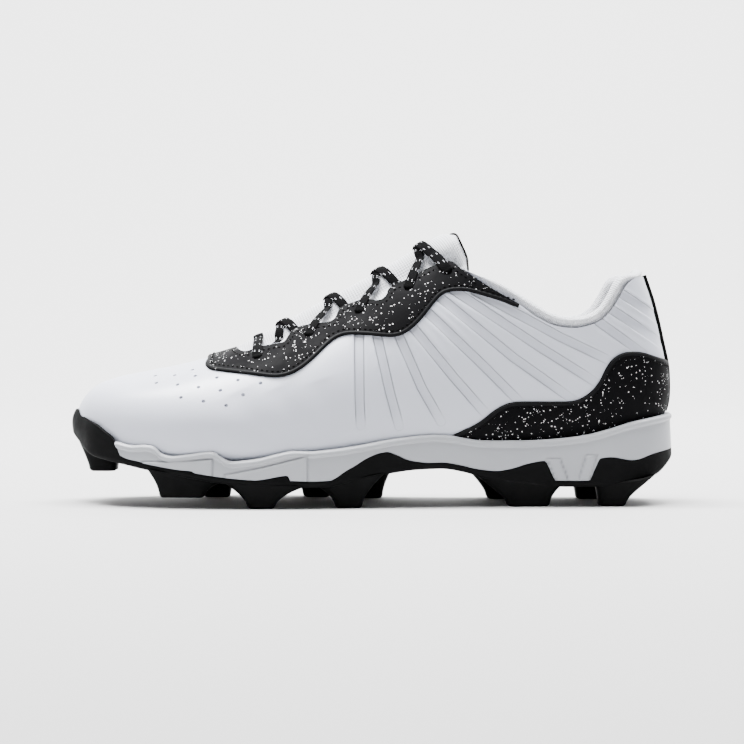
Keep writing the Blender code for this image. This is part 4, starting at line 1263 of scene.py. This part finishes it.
def build_tongue_edge():
    """Black binding round the tongue's free edge."""
    start = 0.45
    up = np.linspace(start, 1, 90)
    across = np.linspace(-1, 1, 90)[1:-1]
    part = np.concatenate([up, np.ones(88), up[::-1]])
    share = np.concatenate([-np.ones(90), across, np.ones(90)])
    rise = tongue_rise(part, share) - tongue_pad(part, share) / 2
    points = tongue_points(part, share, rise)
    normals = tongue_points(part, share, rise + 0.001) - points
    both = even_steps(np.hstack([points, normals]), 300)
    return sweep("tongue_binding", both[:, :3], both[:, 3:], oval(TONGUE_BINDING, 2.0 * TONGUE_BINDING, 10))


def collar_rim(count):
    """Rim line of the collar on the last: lateral front, heel, medial front."""
    rim = side_line([row for row in TOPLINE if COLLAR_FRONT <= row[0] <= COLLAR_BACK], 120)
    sides = []
    for side in (LATERAL, MEDIAL):
        places = line_places(rim, side)
        sides.append(places[np.abs(places[:, 1]) < COLLAR_TURN][::5])
    goal = base_height(1.0) + TOPLINE[-2][1] * UPPER_HEIGHT
    stations = np.linspace(LAST_END - 4, LAST_END, 300)
    heel = float(np.interp(goal, smooth_rows(LAST_ROWS, stations)[:, 3], stations))
    lateral, medial = sides
    path = np.vstack([lateral, [(heel, -1.0)], medial[::-1] - np.array([0.0, 2.0])])
    dense = smooth_rows(with_ends(path * RIM_SCALE), np.linspace(0, len(path) - 1, 600))
    return smooth_along(even_steps(dense, count), RIM_SMOOTH) / RIM_SCALE


def smooth_along(rows, reach):
    """Running mean of the rows of a table, with its ends kept."""
    padded = np.vstack([2 * rows[:1] - rows[reach:0:-1], rows, 2 * rows[-1:] - rows[-2:-reach - 2:-1]])
    weights = np.hanning(2 * reach + 3)[1:-1]
    weights /= weights.sum()
    return np.column_stack([np.convolve(column, weights, "valid") for column in padded.T])


def build_collar():
    """Padded knit collar: a lining band inside the upper with a roll over its top edge."""
    guide = form("guide", -UPPER_WALL - CLEARANCE)
    tree = BVHTree.FromObject(guide, bpy.context.evaluated_depsgraph_get())
    bpy.data.objects.remove(guide, do_unlink=True)
    rim, out = surface(*collar_rim(COLLAR_FINE).T)
    up = unit(np.cross(np.gradient(rim, axis=0), out))
    up[up[:, 2] < 0] *= -1
    up = unit(smooth_along(up, RIM_SMOOTH))
    down = -up * COLLAR_TILT - np.array([0.0, 0.0, 1 - COLLAR_TILT])
    rings = []
    steps = np.arange(COLLAR_FINE)
    ends = ramp(np.minimum(steps, steps[::-1]), -4, COLLAR_END)
    for place in steps:
        outer = []
        inner = []
        for share in (1.0, 0.8, 0.6, 0.4, 0.2, -0.02):
            seat, normal, _, _ = tree.find_nearest(Vector(rim[place] + down[place] * COLLAR_DEPTH * share))
            pad = COLLAR_PAD * (1 - 0.75 * max(share, 0) ** 1.6) * ends[place]
            outer.append(np.array(seat))
            inner.append(np.array(seat - normal * pad))
        wall = UPPER_WALL + COLLAR_PAD * ends[place]
        height = COLLAR_ROLL * COLLAR_SWELL * ends[place]
        roll = [rim[place] + up[place] * height * rise - out[place] * wall * depth
                for rise, depth in COLLAR_ROUND]
        loop = np.array(outer + roll + inner[::-1])
        guide_loop = np.vstack([loop[-1], loop, loop[:2]])
        rings.append(smooth_rows(guide_loop, np.linspace(0, len(loop), 4 * len(loop), endpoint=False)))
    sides = len(rings[0])
    arc = run_lengths(rim)
    around = np.array([run_lengths(ring) for ring in rings])
    item = new_object("knit_collar", np.vstack(rings), tube_faces(COLLAR_FINE, sides))
    lay_uv(item, lambda corner: (arc[corner // sides], around[corner // sides, corner % sides]))
    return face_out(item)


def build_insole():
    along = sole_loop(0.0)[0]
    bottom = base_height(along) - SOLE_STACK / 2
    top = base_height(along) + UPPER_WALL + CLEARANCE + INSOLE_THICKNESS
    item = form("footbed", -UPPER_WALL - CLEARANCE)
    return boolean(item, plan_solid("bed", [(BOTTOM_ROUND, bottom), (BOTTOM_ROUND, top)]), "INTERSECT")


def lace_route(start, end, under, lift):
    """Points and normals of one lace run over the tongue, which dives under a flap where its end says so."""
    inside, outside = LACE_DEPTHS
    part = np.linspace(0, 1, 44)
    station, share = (blend(start[axis], end[axis], part) for axis in (0, 1))
    across = share * arcs_at(station, share) / TONGUE_HALF_WIDTH
    along = np.clip((station - TONGUE_START) / (TONGUE_END - TONGUE_START), 0, 1)
    over_film = CLEARANCE + OVERLAY_THICKNESS + LACE_FLAT * 0.5
    on_tongue = tongue_rise(along, across) + LACE_FLAT * LACE_SINK
    rise = np.maximum(over_film, on_tongue)
    for hidden, gap in zip(under, (part, 1 - part)):
        if hidden:
            rise = np.where(gap < 0.5, blend(on_tongue, rise, ramp(gap, 0.36, 0.48)), rise)
        else:
            rise = blend(outside, rise, ramp(gap, 0.0, 0.08))
    rise = rise + lift * np.exp(-((part - 0.5) / 0.14) ** 2)
    points, normals = surface(station, share)
    points = points + normals * rise[:, None]
    ends = [points[side] - normals[side] * inside for side in (0, -1)]
    if not under[0]:
        points = np.vstack([ends[0], points])
        normals = np.vstack([normals[:1], normals])
    if not under[1]:
        points = np.vstack([points, ends[1]])
        normals = np.vstack([normals, normals[-1:]])
    both = np.hstack([points, normals])
    both = even_steps(smooth_rows(with_ends(both), np.linspace(0, len(both) - 1, 400)), 120)
    return both[:, :3], both[:, 3:]


def build_laces():
    """A bar over the front eyelets, then two crossing runs between each pair."""
    lateral = table_places(EYELETS, (LATERAL,))
    medial = table_places(EYELETS, (MEDIAL,))
    runs = [(lateral[0], medial[0], (False, False), 0.0)]
    for place in range(len(EYELETS) - 1):
        under = (place == 0, place < len(EYELETS) - 2)
        runs.append((lateral[place], medial[place + 1], under, 0.0))
        runs.append((medial[place], lateral[place + 1], under, LACE_FLAT * 0.85))
    return [sweep(f"woven_lace_{number + 1}", *lace_route(*run), oval(LACE_BAND, LACE_FLAT, 20, 2.6))
            for number, run in enumerate(runs)]


def wall_relief(along, height):
    """Raised pads and grooves of the midsole's side wall, as a rise in metres, and how deep in a groove."""
    rise = 0 * along
    groove = 0 * along
    for first, last, first_top, last_top, low, lift, slant in WALL_PADS:
        level = base_height(along) + first_top * CUP_HEIGHT
        straight = along - slant * (level - height)
        part = np.clip((straight - first) / (last - first), 0, 1)
        top = base_height(along) + blend(first_top, last_top, part) * CUP_HEIGHT
        gap = np.minimum.reduce([(straight - first) * LENGTH, (last - straight) * LENGTH, top - height,
                                 height - base_height(along) - low * CUP_HEIGHT])
        rise = rise + lift * ramp(gap, 0, PAD_EDGE)
        line = np.exp(-(gap / GROOVE_WIDTH) ** 2)
        rise = rise - GROOVE_DEPTH * line
        groove = np.maximum(groove, line)
    return rise, groove


def build_midsole():
    """Grey cup with a rounded ledge under its top edge and raised pads over the front studs."""
    along = sole_loop(0.0)[0]
    bottom = underside_height(along)
    top = bite_height(along)
    ledge = np.maximum(top - LEDGE_HEIGHT, bottom + BOTTOM_ROUND * 1.2)
    levels = []
    for part in np.linspace(0, 1, 54):
        height = blend(bottom, ledge, part)
        levels.append((wall_inset(along, height) - wall_relief(along, height)[0], height))
    for part in np.linspace(0, 1, 14)[1:]:
        height = blend(ledge, top, part)
        out = LEDGE_OUT * ramp(part, 0, 0.35) - LEDGE_ROUND * ramp(part, 0.55, 1.0) ** 2
        levels.append((wall_inset(along, height) - out - wall_relief(along, height)[0] * (1 - part), height))
    item = plan_solid("moulded_midsole", levels)
    boolean(item, rubber_zone("rubber_cut", CLEARANCE), "DIFFERENCE")
    boolean(item, form("last_cut", CLEARANCE), "DIFFERENCE")
    points = vertex_array(item)
    # The groove mask also darkens the grooves in the midsole's colour: painted shade
    set_attribute(item, "groove", wall_relief(points[:, 0] / LENGTH + 0.5, points[:, 2])[1])
    return item


def stud(name, along, across, foot_height, foot_length, foot_width, base_length, base_width, shift):
    """A tapered stud with a flat foot and rounded corners, whose root follows the plate."""
    foot_z = foot_height * STUD_LENGTH
    taper = STUD_FOOT_ROUND / BALL_WIDTH
    rings = []
    for share in np.linspace(1, 0, 12):
        spread = share ** STUD_FLARE
        rings.append((share, 0.0, blend(foot_length + taper, base_length, spread),
                      blend(foot_width + taper, base_width, spread), shift * spread))
    rings[-1] = (0.0, STUD_FOOT_ROUND, foot_length + taper, foot_width + taper, 0.0)
    rings.append((0.0, STUD_FOOT_ROUND * 0.35, foot_length + taper * 0.3, foot_width + taper * 0.3, 0.0))
    rings.append((0.0, 0.0, foot_length - taper, foot_width - taper, 0.0))
    points = []
    for share, rise, length, width, moved in rings:
        for corner in range(STUD_FINE):
            angle = 2 * math.pi * (corner + 0.5) / STUD_FINE
            cosine = math.cos(angle)
            sine = math.sin(angle)
            reach = length / 2 * math.copysign(abs(cosine) ** STUD_SQUARE, cosine)
            x = along_to_x(along) + (moved + reach) * BALL_WIDTH
            y = (across + width / 2 * math.copysign(abs(sine) ** STUD_SQUARE, sine)) * BALL_WIDTH
            root_z = float(underside_height(x / LENGTH + 0.5)) + STUD_ROOT
            points.append((x, y, foot_z + rise + (root_z - foot_z) * share))
    return face_out(new_object(name, points, tube_faces(len(rings), STUD_FINE)))


def build_outsole():
    along = sole_loop(0.0)[0]
    bottom = underside_height(along)
    top = rubber_top(along) + RUBBER_STEP
    shoulder = np.minimum(bottom + BOTTOM_ROUND, (bottom + top) / 2)
    levels = []
    for part in np.linspace(0, 1, 6):
        inset = BOTTOM_ROUND * 0.7 * (1 - math.sin(part * math.pi / 2))
        levels.append((inset, blend(bottom, shoulder, 1 - math.cos(part * math.pi / 2))))
    nose = 1 - ramp(along, 0, NOSE[0])
    for part in np.linspace(0, 1, 16)[1:]:
        height = blend(shoulder, top, part)
        curl = nose * (NOSE[1] * part ** 3 - NOSE[2] * math.sin(math.pi * part))
        levels.append((wall_inset(along, height) + curl, height))
    item = plan_solid("rubber_outsole", levels)
    for name, sizes in STUDS.items():
        boolean(item, stud(name, *sizes), "UNION")
    boolean(item, rubber_zone("rubber_keep", 0.0), "INTERSECT")
    return boolean(item, form("last_cut", CLEARANCE), "DIFFERENCE")


# Materials
def tint(colour, factor):
    return tuple(value * factor for value in colour)


class Shader:
    """A Principled material with short calls for its nodes."""

    def __init__(self, name, colour, roughness, **inputs):
        self.material = bpy.data.materials.new(name)
        self.material.use_nodes = True
        self.tree = self.material.node_tree
        self.main = self.tree.nodes["Principled BSDF"]
        self.main.inputs["Base Color"].default_value = (*colour, 1.0)
        self.main.inputs["Roughness"].default_value = roughness
        for label, value in inputs.items():
            self.main.inputs[label.replace("_", " ")].default_value = value
        self.bumps = None

    def node(self, kind, **settings):
        item = self.tree.nodes.new(kind)
        for label, value in settings.items():
            setattr(item, label, value)
        return item

    def link(self, source, target):
        self.tree.links.new(source, target)

    def feed(self, socket, value):
        """Link an output to a socket, or set the socket to a plain value."""
        if hasattr(value, "is_output"):
            self.link(value, socket)
        else:
            socket.default_value = value

    def math(self, operation, first, second=0.0, third=0.0):
        item = self.node("ShaderNodeMath", operation=operation)
        for socket, value in zip(item.inputs, (first, second, third)):
            self.feed(socket, value)
        return item.outputs[0]

    def vector(self, operation, first, second):
        item = self.node("ShaderNodeVectorMath", operation=operation)
        for socket, value in zip(item.inputs, (first, second)):
            self.feed(socket, value)
        return item.outputs["Value" if operation in ("DOT_PRODUCT", "DISTANCE") else "Vector"]

    def place(self, scale=(1.0, 1.0, 1.0), turn=0.0, uv=False):
        coordinates = self.node("ShaderNodeTexCoord")
        mapping = self.node("ShaderNodeMapping")
        mapping.inputs["Scale"].default_value = scale
        mapping.inputs["Rotation"].default_value = (0, 0, turn)
        self.link(coordinates.outputs["UV" if uv else "Object"], mapping.inputs["Vector"])
        return mapping.outputs["Vector"]

    def noise(self, scale, detail=3.0, vector=None, rough=0.5):
        item = self.node("ShaderNodeTexNoise")
        item.inputs["Scale"].default_value = scale
        item.inputs["Detail"].default_value = detail
        item.inputs["Roughness"].default_value = rough
        self.link(vector or self.place(), item.inputs["Vector"])
        return item.outputs["Fac"]

    def voronoi(self, scale, feature="F1", vector=None):
        item = self.node("ShaderNodeTexVoronoi", feature=feature)
        item.inputs["Scale"].default_value = scale
        self.link(vector or self.place(), item.inputs["Vector"])
        return item

    def wave(self, scale, vector, bands="X", distortion=0.0):
        item = self.node("ShaderNodeTexWave", bands_direction=bands)
        item.inputs["Scale"].default_value = scale
        item.inputs["Distortion"].default_value = distortion
        self.link(vector, item.inputs["Vector"])
        return item.outputs["Fac"]

    def ramp(self, value, low, high, first=0.0, last=1.0):
        item = self.node("ShaderNodeMapRange", interpolation_type="SMOOTHSTEP")
        for socket, number in zip(item.inputs[1:5], (low, high, first, last)):
            socket.default_value = number
        self.link(value, item.inputs[0])
        return item.outputs[0]

    def mix(self, factor, first, second):
        item = self.node("ShaderNodeMix", data_type="RGBA")
        for place, value in ((0, factor), (6, first), (7, second)):
            self.feed(item.inputs[place], (*value, 1.0) if isinstance(value, tuple) else value)
        return item.outputs[2]

    def attribute(self, name):
        return self.node("ShaderNodeAttribute", attribute_name=name).outputs["Fac"]

    def bump(self, height, distance, strength=1.0):
        """Adds a bump over the ones before it."""
        item = self.node("ShaderNodeBump")
        item.inputs["Distance"].default_value = distance
        item.inputs["Strength"].default_value = strength
        self.link(height, item.inputs["Height"])
        if self.bumps:
            self.link(self.bumps, item.inputs["Normal"])
        self.bumps = item.outputs["Normal"]
        self.link(self.bumps, self.main.inputs["Normal"])

    def colour(self, value):
        self.link(value, self.main.inputs["Base Color"])

    def roughness(self, value):
        self.link(value, self.main.inputs["Roughness"])


def channel_gap(shader):
    """Distance in the side view to the middle of the nearest channel."""
    split = shader.node("ShaderNodeSeparateXYZ")
    flat = shader.node("ShaderNodeCombineXYZ")
    shader.link(shader.node("ShaderNodeTexCoord").outputs["Object"], split.inputs[0])
    shader.link(split.outputs[0], flat.inputs[0])
    shader.link(split.outputs[2], flat.inputs[2])
    nearest = None
    for path in CHANNELS:
        line = [Vector((x, 0, z)) for x, z in (side_xz(*place) for place in path)]
        for first, last in zip(line[:-1], line[1:]):
            way = last - first
            here = shader.vector("SUBTRACT", flat.outputs[0], first)
            part = shader.math("ADD", shader.vector("DOT_PRODUCT", here, way / way.length_squared))
            part.node.use_clamp = True
            foot = shader.node("ShaderNodeVectorMath", operation="SCALE")
            foot.inputs[0].default_value = way
            shader.link(part, foot.inputs["Scale"])
            gap = shader.vector("DISTANCE", here, foot.outputs[0])
            nearest = gap if nearest is None else shader.math("MINIMUM", nearest, gap)
    return nearest


def white_leather():
    shader = Shader("white_synthetic", WHITE, 0.36, Coat_Weight=0.10, Coat_Roughness=0.28)
    fade = shader.attribute("fade")
    gap = channel_gap(shader)
    half = CHANNEL_WIDTH / 2
    deep = shader.ramp(gap, half - CHANNEL_CRISP, half + CHANNEL_CRISP, 1.0, 0.0)
    deep = shader.math("MULTIPLY", deep, fade)
    # Mask of a thin dark line along the channels' walls: painted shade
    edge = shader.math("MULTIPLY", shader.math("COMPARE", gap, half - CHANNEL_CRISP, CHANNEL_CRISP), fade)
    shade = shader.mix(shader.noise(14, 4), tint(WHITE, 0.97), WHITE)
    # Painted shade: the floor of each channel is greyed, where shade falls in the recess
    shade = shader.mix(shader.math("MULTIPLY", deep, 0.6), shade, CHANNEL_SHADE_GREY)
    shader.colour(shader.mix(shader.math("MULTIPLY", edge, 0.6), shade, CHANNEL_WALL_SHADE))
    shader.roughness(shader.ramp(shader.noise(60, 3), 0.3, 0.7, 0.33, 0.43))
    shader.bump(shader.noise(900, 2), 0.00004, 0.5)
    shader.bump(shader.voronoi(1500).outputs["Distance"], 0.00003, 0.4)
    shader.bump(shader.noise(45, 3), 0.00035, 0.35)
    shader.bump(deep, -0.0009, 1.0)
    return shader.material


def lining_cloth():
    shader = Shader("lining_cloth", LINING, 0.9, Sheen_Weight=0.25)
    weave = shader.voronoi(1100).outputs["Distance"]
    shader.colour(shader.mix(weave, tint(LINING, 0.85), LINING))
    shader.bump(weave, 0.0002, 0.6)
    return shader.material


def speck_layer(shader, scale, reach, share, stretch=1.0):
    """Irregular specks: cells of which a share hold a dot of its own size."""
    vector = shader.place((1.0, stretch, 1.0))
    warped = shader.node("ShaderNodeVectorMath", operation="MULTIPLY_ADD")
    wobble = shader.node("ShaderNodeTexNoise")
    wobble.inputs["Scale"].default_value = scale * 2.2
    shader.link(vector, wobble.inputs["Vector"])
    shader.link(wobble.outputs["Color"], warped.inputs[0])
    warped.inputs[1].default_value = (0.5 / scale,) * 3
    shader.link(vector, warped.inputs[2])
    cells = shader.voronoi(scale, vector=warped.outputs["Vector"])
    split = shader.node("ShaderNodeSeparateColor")
    shader.link(cells.outputs["Color"], split.inputs[0])
    size = shader.math("MULTIPLY", split.outputs[0], reach)
    dot = shader.math("LESS_THAN", cells.outputs["Distance"], size)
    chosen = shader.math("LESS_THAN", split.outputs[1], share)
    return shader.math("MULTIPLY", dot, chosen)


def speckled_film():
    shader = Shader("speckled_film", CHARCOAL, 0.6, IOR=1.10, Specular_IOR_Level=0.4)
    crowd = shader.ramp(shader.noise(42, 3), 0.33, 0.68, 0.06, 0.30)
    specks = shader.math("MAXIMUM", speck_layer(shader, 1250, 0.42, crowd, 1.0),
                         speck_layer(shader, 680, 0.25, shader.math("MULTIPLY", crowd, 0.55), 1.25))
    large_specks = speck_layer(shader, 290, 0.20, shader.math("MULTIPLY", crowd, 0.14))
    specks = shader.math("MAXIMUM", specks, large_specks)
    base = shader.mix(shader.noise(30, 3), tint(CHARCOAL, 0.85),
                      tint(CHARCOAL, 1.2))
    shader.colour(shader.mix(specks, base, SPECK))
    shader.roughness(shader.ramp(shader.noise(120, 3), 0.3, 0.7, 0.50, 0.66))
    shader.bump(shader.noise(700, 3), 0.00008, 0.5)
    shader.bump(specks, 0.00004, 0.3)
    return shader.material


def plain_black(name, colour, roughness, grain):
    shader = Shader(name, colour, roughness, IOR=1.16, Specular_IOR_Level=0.4)
    shader.bump(shader.noise(grain, 3), 0.0001, 0.5)
    shader.roughness(shader.ramp(shader.noise(grain / 6, 3), 0.3, 0.7, roughness - 0.05, roughness + 0.08))
    return shader.material


def knit(name, ribs, fuzz=0.0002):
    """White knit with fine cross lines, in the metres of its UV map."""
    shader = Shader(name, KNIT, 0.85, Sheen_Weight=0.3, Sheen_Roughness=0.5)
    flat = shader.place(uv=True)
    across = shader.wave(ribs, flat, "X", 0.4)
    along = shader.wave(ribs * 1.3, flat, "Y", 0.6)
    loops = shader.math("MULTIPLY_ADD", along, 0.4, shader.math("MULTIPLY", across, 0.6))
    soft = shader.noise(60, 3)
    shade = shader.mix(loops, tint(KNIT, 0.80), KNIT)
    shader.colour(shader.mix(shader.ramp(soft, 0.35, 0.7, 0.0, 0.25), shade, tint(KNIT, 0.9)))
    shader.bump(loops, 0.0005, 0.7)
    shader.bump(shader.noise(900, 2), fuzz, 0.7)
    return shader.material


def lace_weave():
    """Black braid with two slanting rows of white dots in each repeat."""
    shader = Shader("woven_lace", LACE_BLACK, 0.85, IOR=1.14, Specular_IOR_Level=0.3)
    coordinates = shader.node("ShaderNodeTexCoord")
    split = shader.node("ShaderNodeSeparateXYZ")
    shader.link(coordinates.outputs["UV"], split.inputs[0])
    run = shader.math("DIVIDE", split.outputs[0], LACE_REPEAT)
    round_it = split.outputs[1]
    slant = shader.math("MULTIPLY_ADD", shader.math("PINGPONG", round_it, 0.5), 1.1, run)
    phase = shader.math("FRACT", slant)
    rows = shader.math("MAXIMUM", shader.math("COMPARE", phase, 0.40, 0.022),
                       shader.math("COMPARE", phase, 0.52, 0.022))
    beads = shader.math("PINGPONG", shader.math("MULTIPLY", round_it, 8.0), 0.5)
    dots = shader.math("MULTIPLY", rows, shader.math("GREATER_THAN", beads, 0.37))
    strands = shader.math("MULTIPLY_ADD", split.outputs[0], 900.0, shader.math("MULTIPLY", round_it, 9.0))
    counter = shader.math("MULTIPLY_ADD", split.outputs[0], 900.0, shader.math("MULTIPLY", round_it, -9.0))
    weave = shader.math("ADD", shader.math("PINGPONG", strands, 0.5), shader.math("PINGPONG", counter, 0.5))
    shader.colour(shader.mix(dots, shader.mix(weave, tint(LACE_BLACK, 0.5), LACE_BLACK), KNIT))
    shader.bump(weave, 0.00018, 0.7)
    shader.bump(dots, 0.00010, 0.5)
    return shader.material


def moulded_grey():
    shader = Shader("moulded_grey", MIDSOLE_GREY, 0.46, Coat_Weight=0.05)
    groove = shader.attribute("groove")
    shade = shader.mix(shader.noise(22, 4), tint(MIDSOLE_GREY, 0.95), MIDSOLE_GREY)
    # Painted shade: the wall's grooves are darkened, where shade falls
    shader.colour(shader.mix(shader.math("MULTIPLY", groove, 0.6), shade, tint(MIDSOLE_GREY, 0.6)))
    shader.bump(shader.noise(800, 2), 0.00006, 0.5)
    shader.bump(shader.noise(70, 3), 0.0003, 0.3)
    return shader.material


def black_rubber():
    shader = Shader("black_rubber", RUBBER, 0.62, IOR=1.14, Specular_IOR_Level=0.4)
    shader.colour(shader.mix(shader.noise(35, 4), tint(RUBBER, 0.8),
                             tint(RUBBER, 1.35)))
    shader.roughness(shader.ramp(shader.noise(90, 3), 0.3, 0.7, 0.52, 0.7))
    shader.bump(shader.noise(650, 3), 0.00012, 0.6)
    shader.bump(shader.noise(60, 2), 0.0004, 0.3)
    return shader.material


def foam_cloth():
    shader = Shader("footbed_cloth", FOOTBED, 0.92, Sheen_Weight=0.2)
    weave = shader.voronoi(900).outputs["Distance"]
    shader.colour(shader.mix(weave, tint(FOOTBED, 0.8), FOOTBED))
    shader.bump(weave, 0.0003, 0.6)
    return shader.material


def stage_floor():
    shader = Shader("pale_floor", FLOOR_WHITE, 0.8)
    shader.colour(shader.mix(shader.noise(3, 2), tint(FLOOR_WHITE, 0.99), FLOOR_WHITE))
    return shader.material


# Stage
def area_light(name, place, aim, size, power):
    data = bpy.data.lights.new(name, "AREA")
    data.shape = "RECTANGLE"
    data.size, data.size_y = size
    data.energy = power
    item = bpy.data.objects.new(name, data)
    item.location = place
    item.rotation_euler = (Vector(aim) - Vector(place)).to_track_quat("-Z", "Y").to_euler()
    bpy.context.scene.collection.objects.link(item)


def build_stage():
    """Pale floor that curves up behind the shoe, soft lights and the camera."""
    half, front, start, radius, height = BACKDROP
    side = [(front, 0.0)] + [(start + radius * math.sin(angle), radius * (1 - math.cos(angle)))
                             for angle in np.linspace(0, math.pi / 2, 32)] + [(start + radius, height)]
    points = [(x, y, z) for y, z in side for x in (-half, half)]
    faces = [(2 * step, 2 * step + 1, 2 * step + 3, 2 * step + 2) for step in range(len(side) - 1)]
    floor = new_object("floor", points, faces)
    floor.data.shade_smooth()
    floor.data.materials.append(stage_floor())
    world = bpy.data.worlds.new("studio")
    world.use_nodes = True
    world.node_tree.nodes["Background"].inputs["Color"].default_value = (0.95, 0.97, 1.0, 1.0)
    world.node_tree.nodes["Background"].inputs["Strength"].default_value = WORLD_LIGHT
    bpy.context.scene.world = world
    for light in LIGHTS:
        area_light(*light)
    data = bpy.data.cameras.new("camera")
    data.sensor_width = SENSOR
    data.lens = SENSOR * FOCAL_PIXELS / FRAME_PIXELS
    data.clip_start = 0.05
    camera = bpy.data.objects.new("camera", data)
    camera.location = CAMERA_PLACE
    camera.rotation_euler = (Vector(CAMERA_AIM) - Vector(CAMERA_PLACE)).to_track_quat("-Z", "Y").to_euler()
    bpy.context.scene.collection.objects.link(camera)
    bpy.context.scene.camera = camera


def dress(item, material, slot, *nodes, sharp=40):
    """Give a piece its material, its body and the nodes it stands for. Its slot is not used."""
    materials = material if isinstance(material, (list, tuple)) else [material]
    indices = [face.material_index for face in item.data.polygons] if len(materials) > 1 else None
    item.data.materials.clear()
    for entry in materials:
        item.data.materials.append(entry)
    if indices:
        item.data.polygons.foreach_set("material_index", indices)
    item.data.shade_smooth()
    item.data.set_sharp_from_angle(angle=math.radians(sharp))
    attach(item, "root")
    if nodes:
        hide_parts(*nodes)
    return item


def main():
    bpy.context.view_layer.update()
    build_stage()
    leather = white_leather()
    charcoal = speckled_film()
    thread = plain_black("black_thread", THREAD, 0.7, 900)
    # Black for the trim, and also for the painted shadow lines under the film edges
    trim_and_shadow = plain_black("black_trim_and_shadow", TRIM_AND_SHADOW_BLACK, 0.5, 700)

    upper = build_upper()
    outer = form("outer_guide", 0.0)
    upper.data.materials.append(leather)
    upper.data.materials.append(leather)
    mark_lining(upper, outer, UPPER_WALL * LINING_DEPTH)
    bpy.data.objects.remove(outer, do_unlink=True)
    dress(upper, [leather, lining_cloth()], "synthetic_upper", "upper")

    dress(build_eyestay(), charcoal, "speckled_film", "eyestay", sharp=55)
    dress(build_counter(), charcoal, "speckled_film", "heel_counter", sharp=55)
    top = CLEARANCE + OVERLAY_THICKNESS
    rolled = plain_black("rolled_lip", LIP, 0.5, 500)
    edges = (("eyestay", EYESTAY_EDGE, "front", -1.0), ("counter", COUNTER_EDGE, "heel", 1.0))
    for name, table, over, way in edges:
        points, normals = edge_path(table, top - LIP_HEIGHT * 0.32, way * LIP_WIDTH * 0.15, over)
        lip = sweep(f"{name}_lip", points, normals, oval(LIP_WIDTH, LIP_HEIGHT, 12))
        dress(face_out(lip), rolled, "speckled_film")
        # A thin black line on the upper under each film edge: a painted shadow where the film's edge casts
        # shade
        points, normals = edge_path(table, CLEARANCE, -way * SHADOW_LINE_WIDTH * 0.4, over)
        painted_shadow_line = sweep(f"{name}_underline", points, normals, oval(SHADOW_LINE_WIDTH, OVERLAY_THICKNESS, 8))
        dress(face_out(painted_shadow_line), trim_and_shadow, "speckled_film")
        points, normals = edge_path(table, top, way * STITCH_INSET, over)
        dress(stitches(f"{name}_stitches", points, normals), thread, "speckled_film")
    scallops = [row for row in TOPLINE if EYESTAY_EDGE[0][0] + 0.01 <= row[0] <= EYESTAY_EDGE[-1][0] - 0.05]
    for side in (LATERAL, MEDIAL):
        points, normals = side_path(scallops, side, top, STITCH_INSET)
        dress(stitches("scallop_stitches", points, normals), thread, "speckled_film")
    dress(build_strip(), trim_and_shadow, "black_strip", "heel_strip")
    white_knit = knit("white_knit", 260)
    dress(build_tongue(), white_knit, "white_knit", "tongue", sharp=60)
    dress(build_tongue_edge(), trim_and_shadow, "white_knit")
    dress(build_collar(), knit("terry_knit", 330, 0.0009), "white_knit", "collar", sharp=60)
    dress(build_insole(), foam_cloth(), "insole_foam", "insole")
    braid = lace_weave()
    lace_nodes = [["lace_bar"], ["lace_crossing_1"], [], ["lace_crossing_2"], [], ["lace_crossing_3"], [],
                  ["lace_crossing_4"], []]
    plugs = pins("lace_plugs", table_places(EYELETS), EYELET_RADIUS * 0.97, *LACE_PLUG)
    dress(plugs, braid, "black_lace")
    for lace, nodes in zip(build_laces(), lace_nodes):
        dress(face_out(lace), braid, "black_lace", *nodes, sharp=80)
    dress(build_midsole(), moulded_grey(), "grey_midsole", "midsole", sharp=38)
    dress(build_outsole(), black_rubber(), "black_rubber", "outsole", sharp=34)


main()
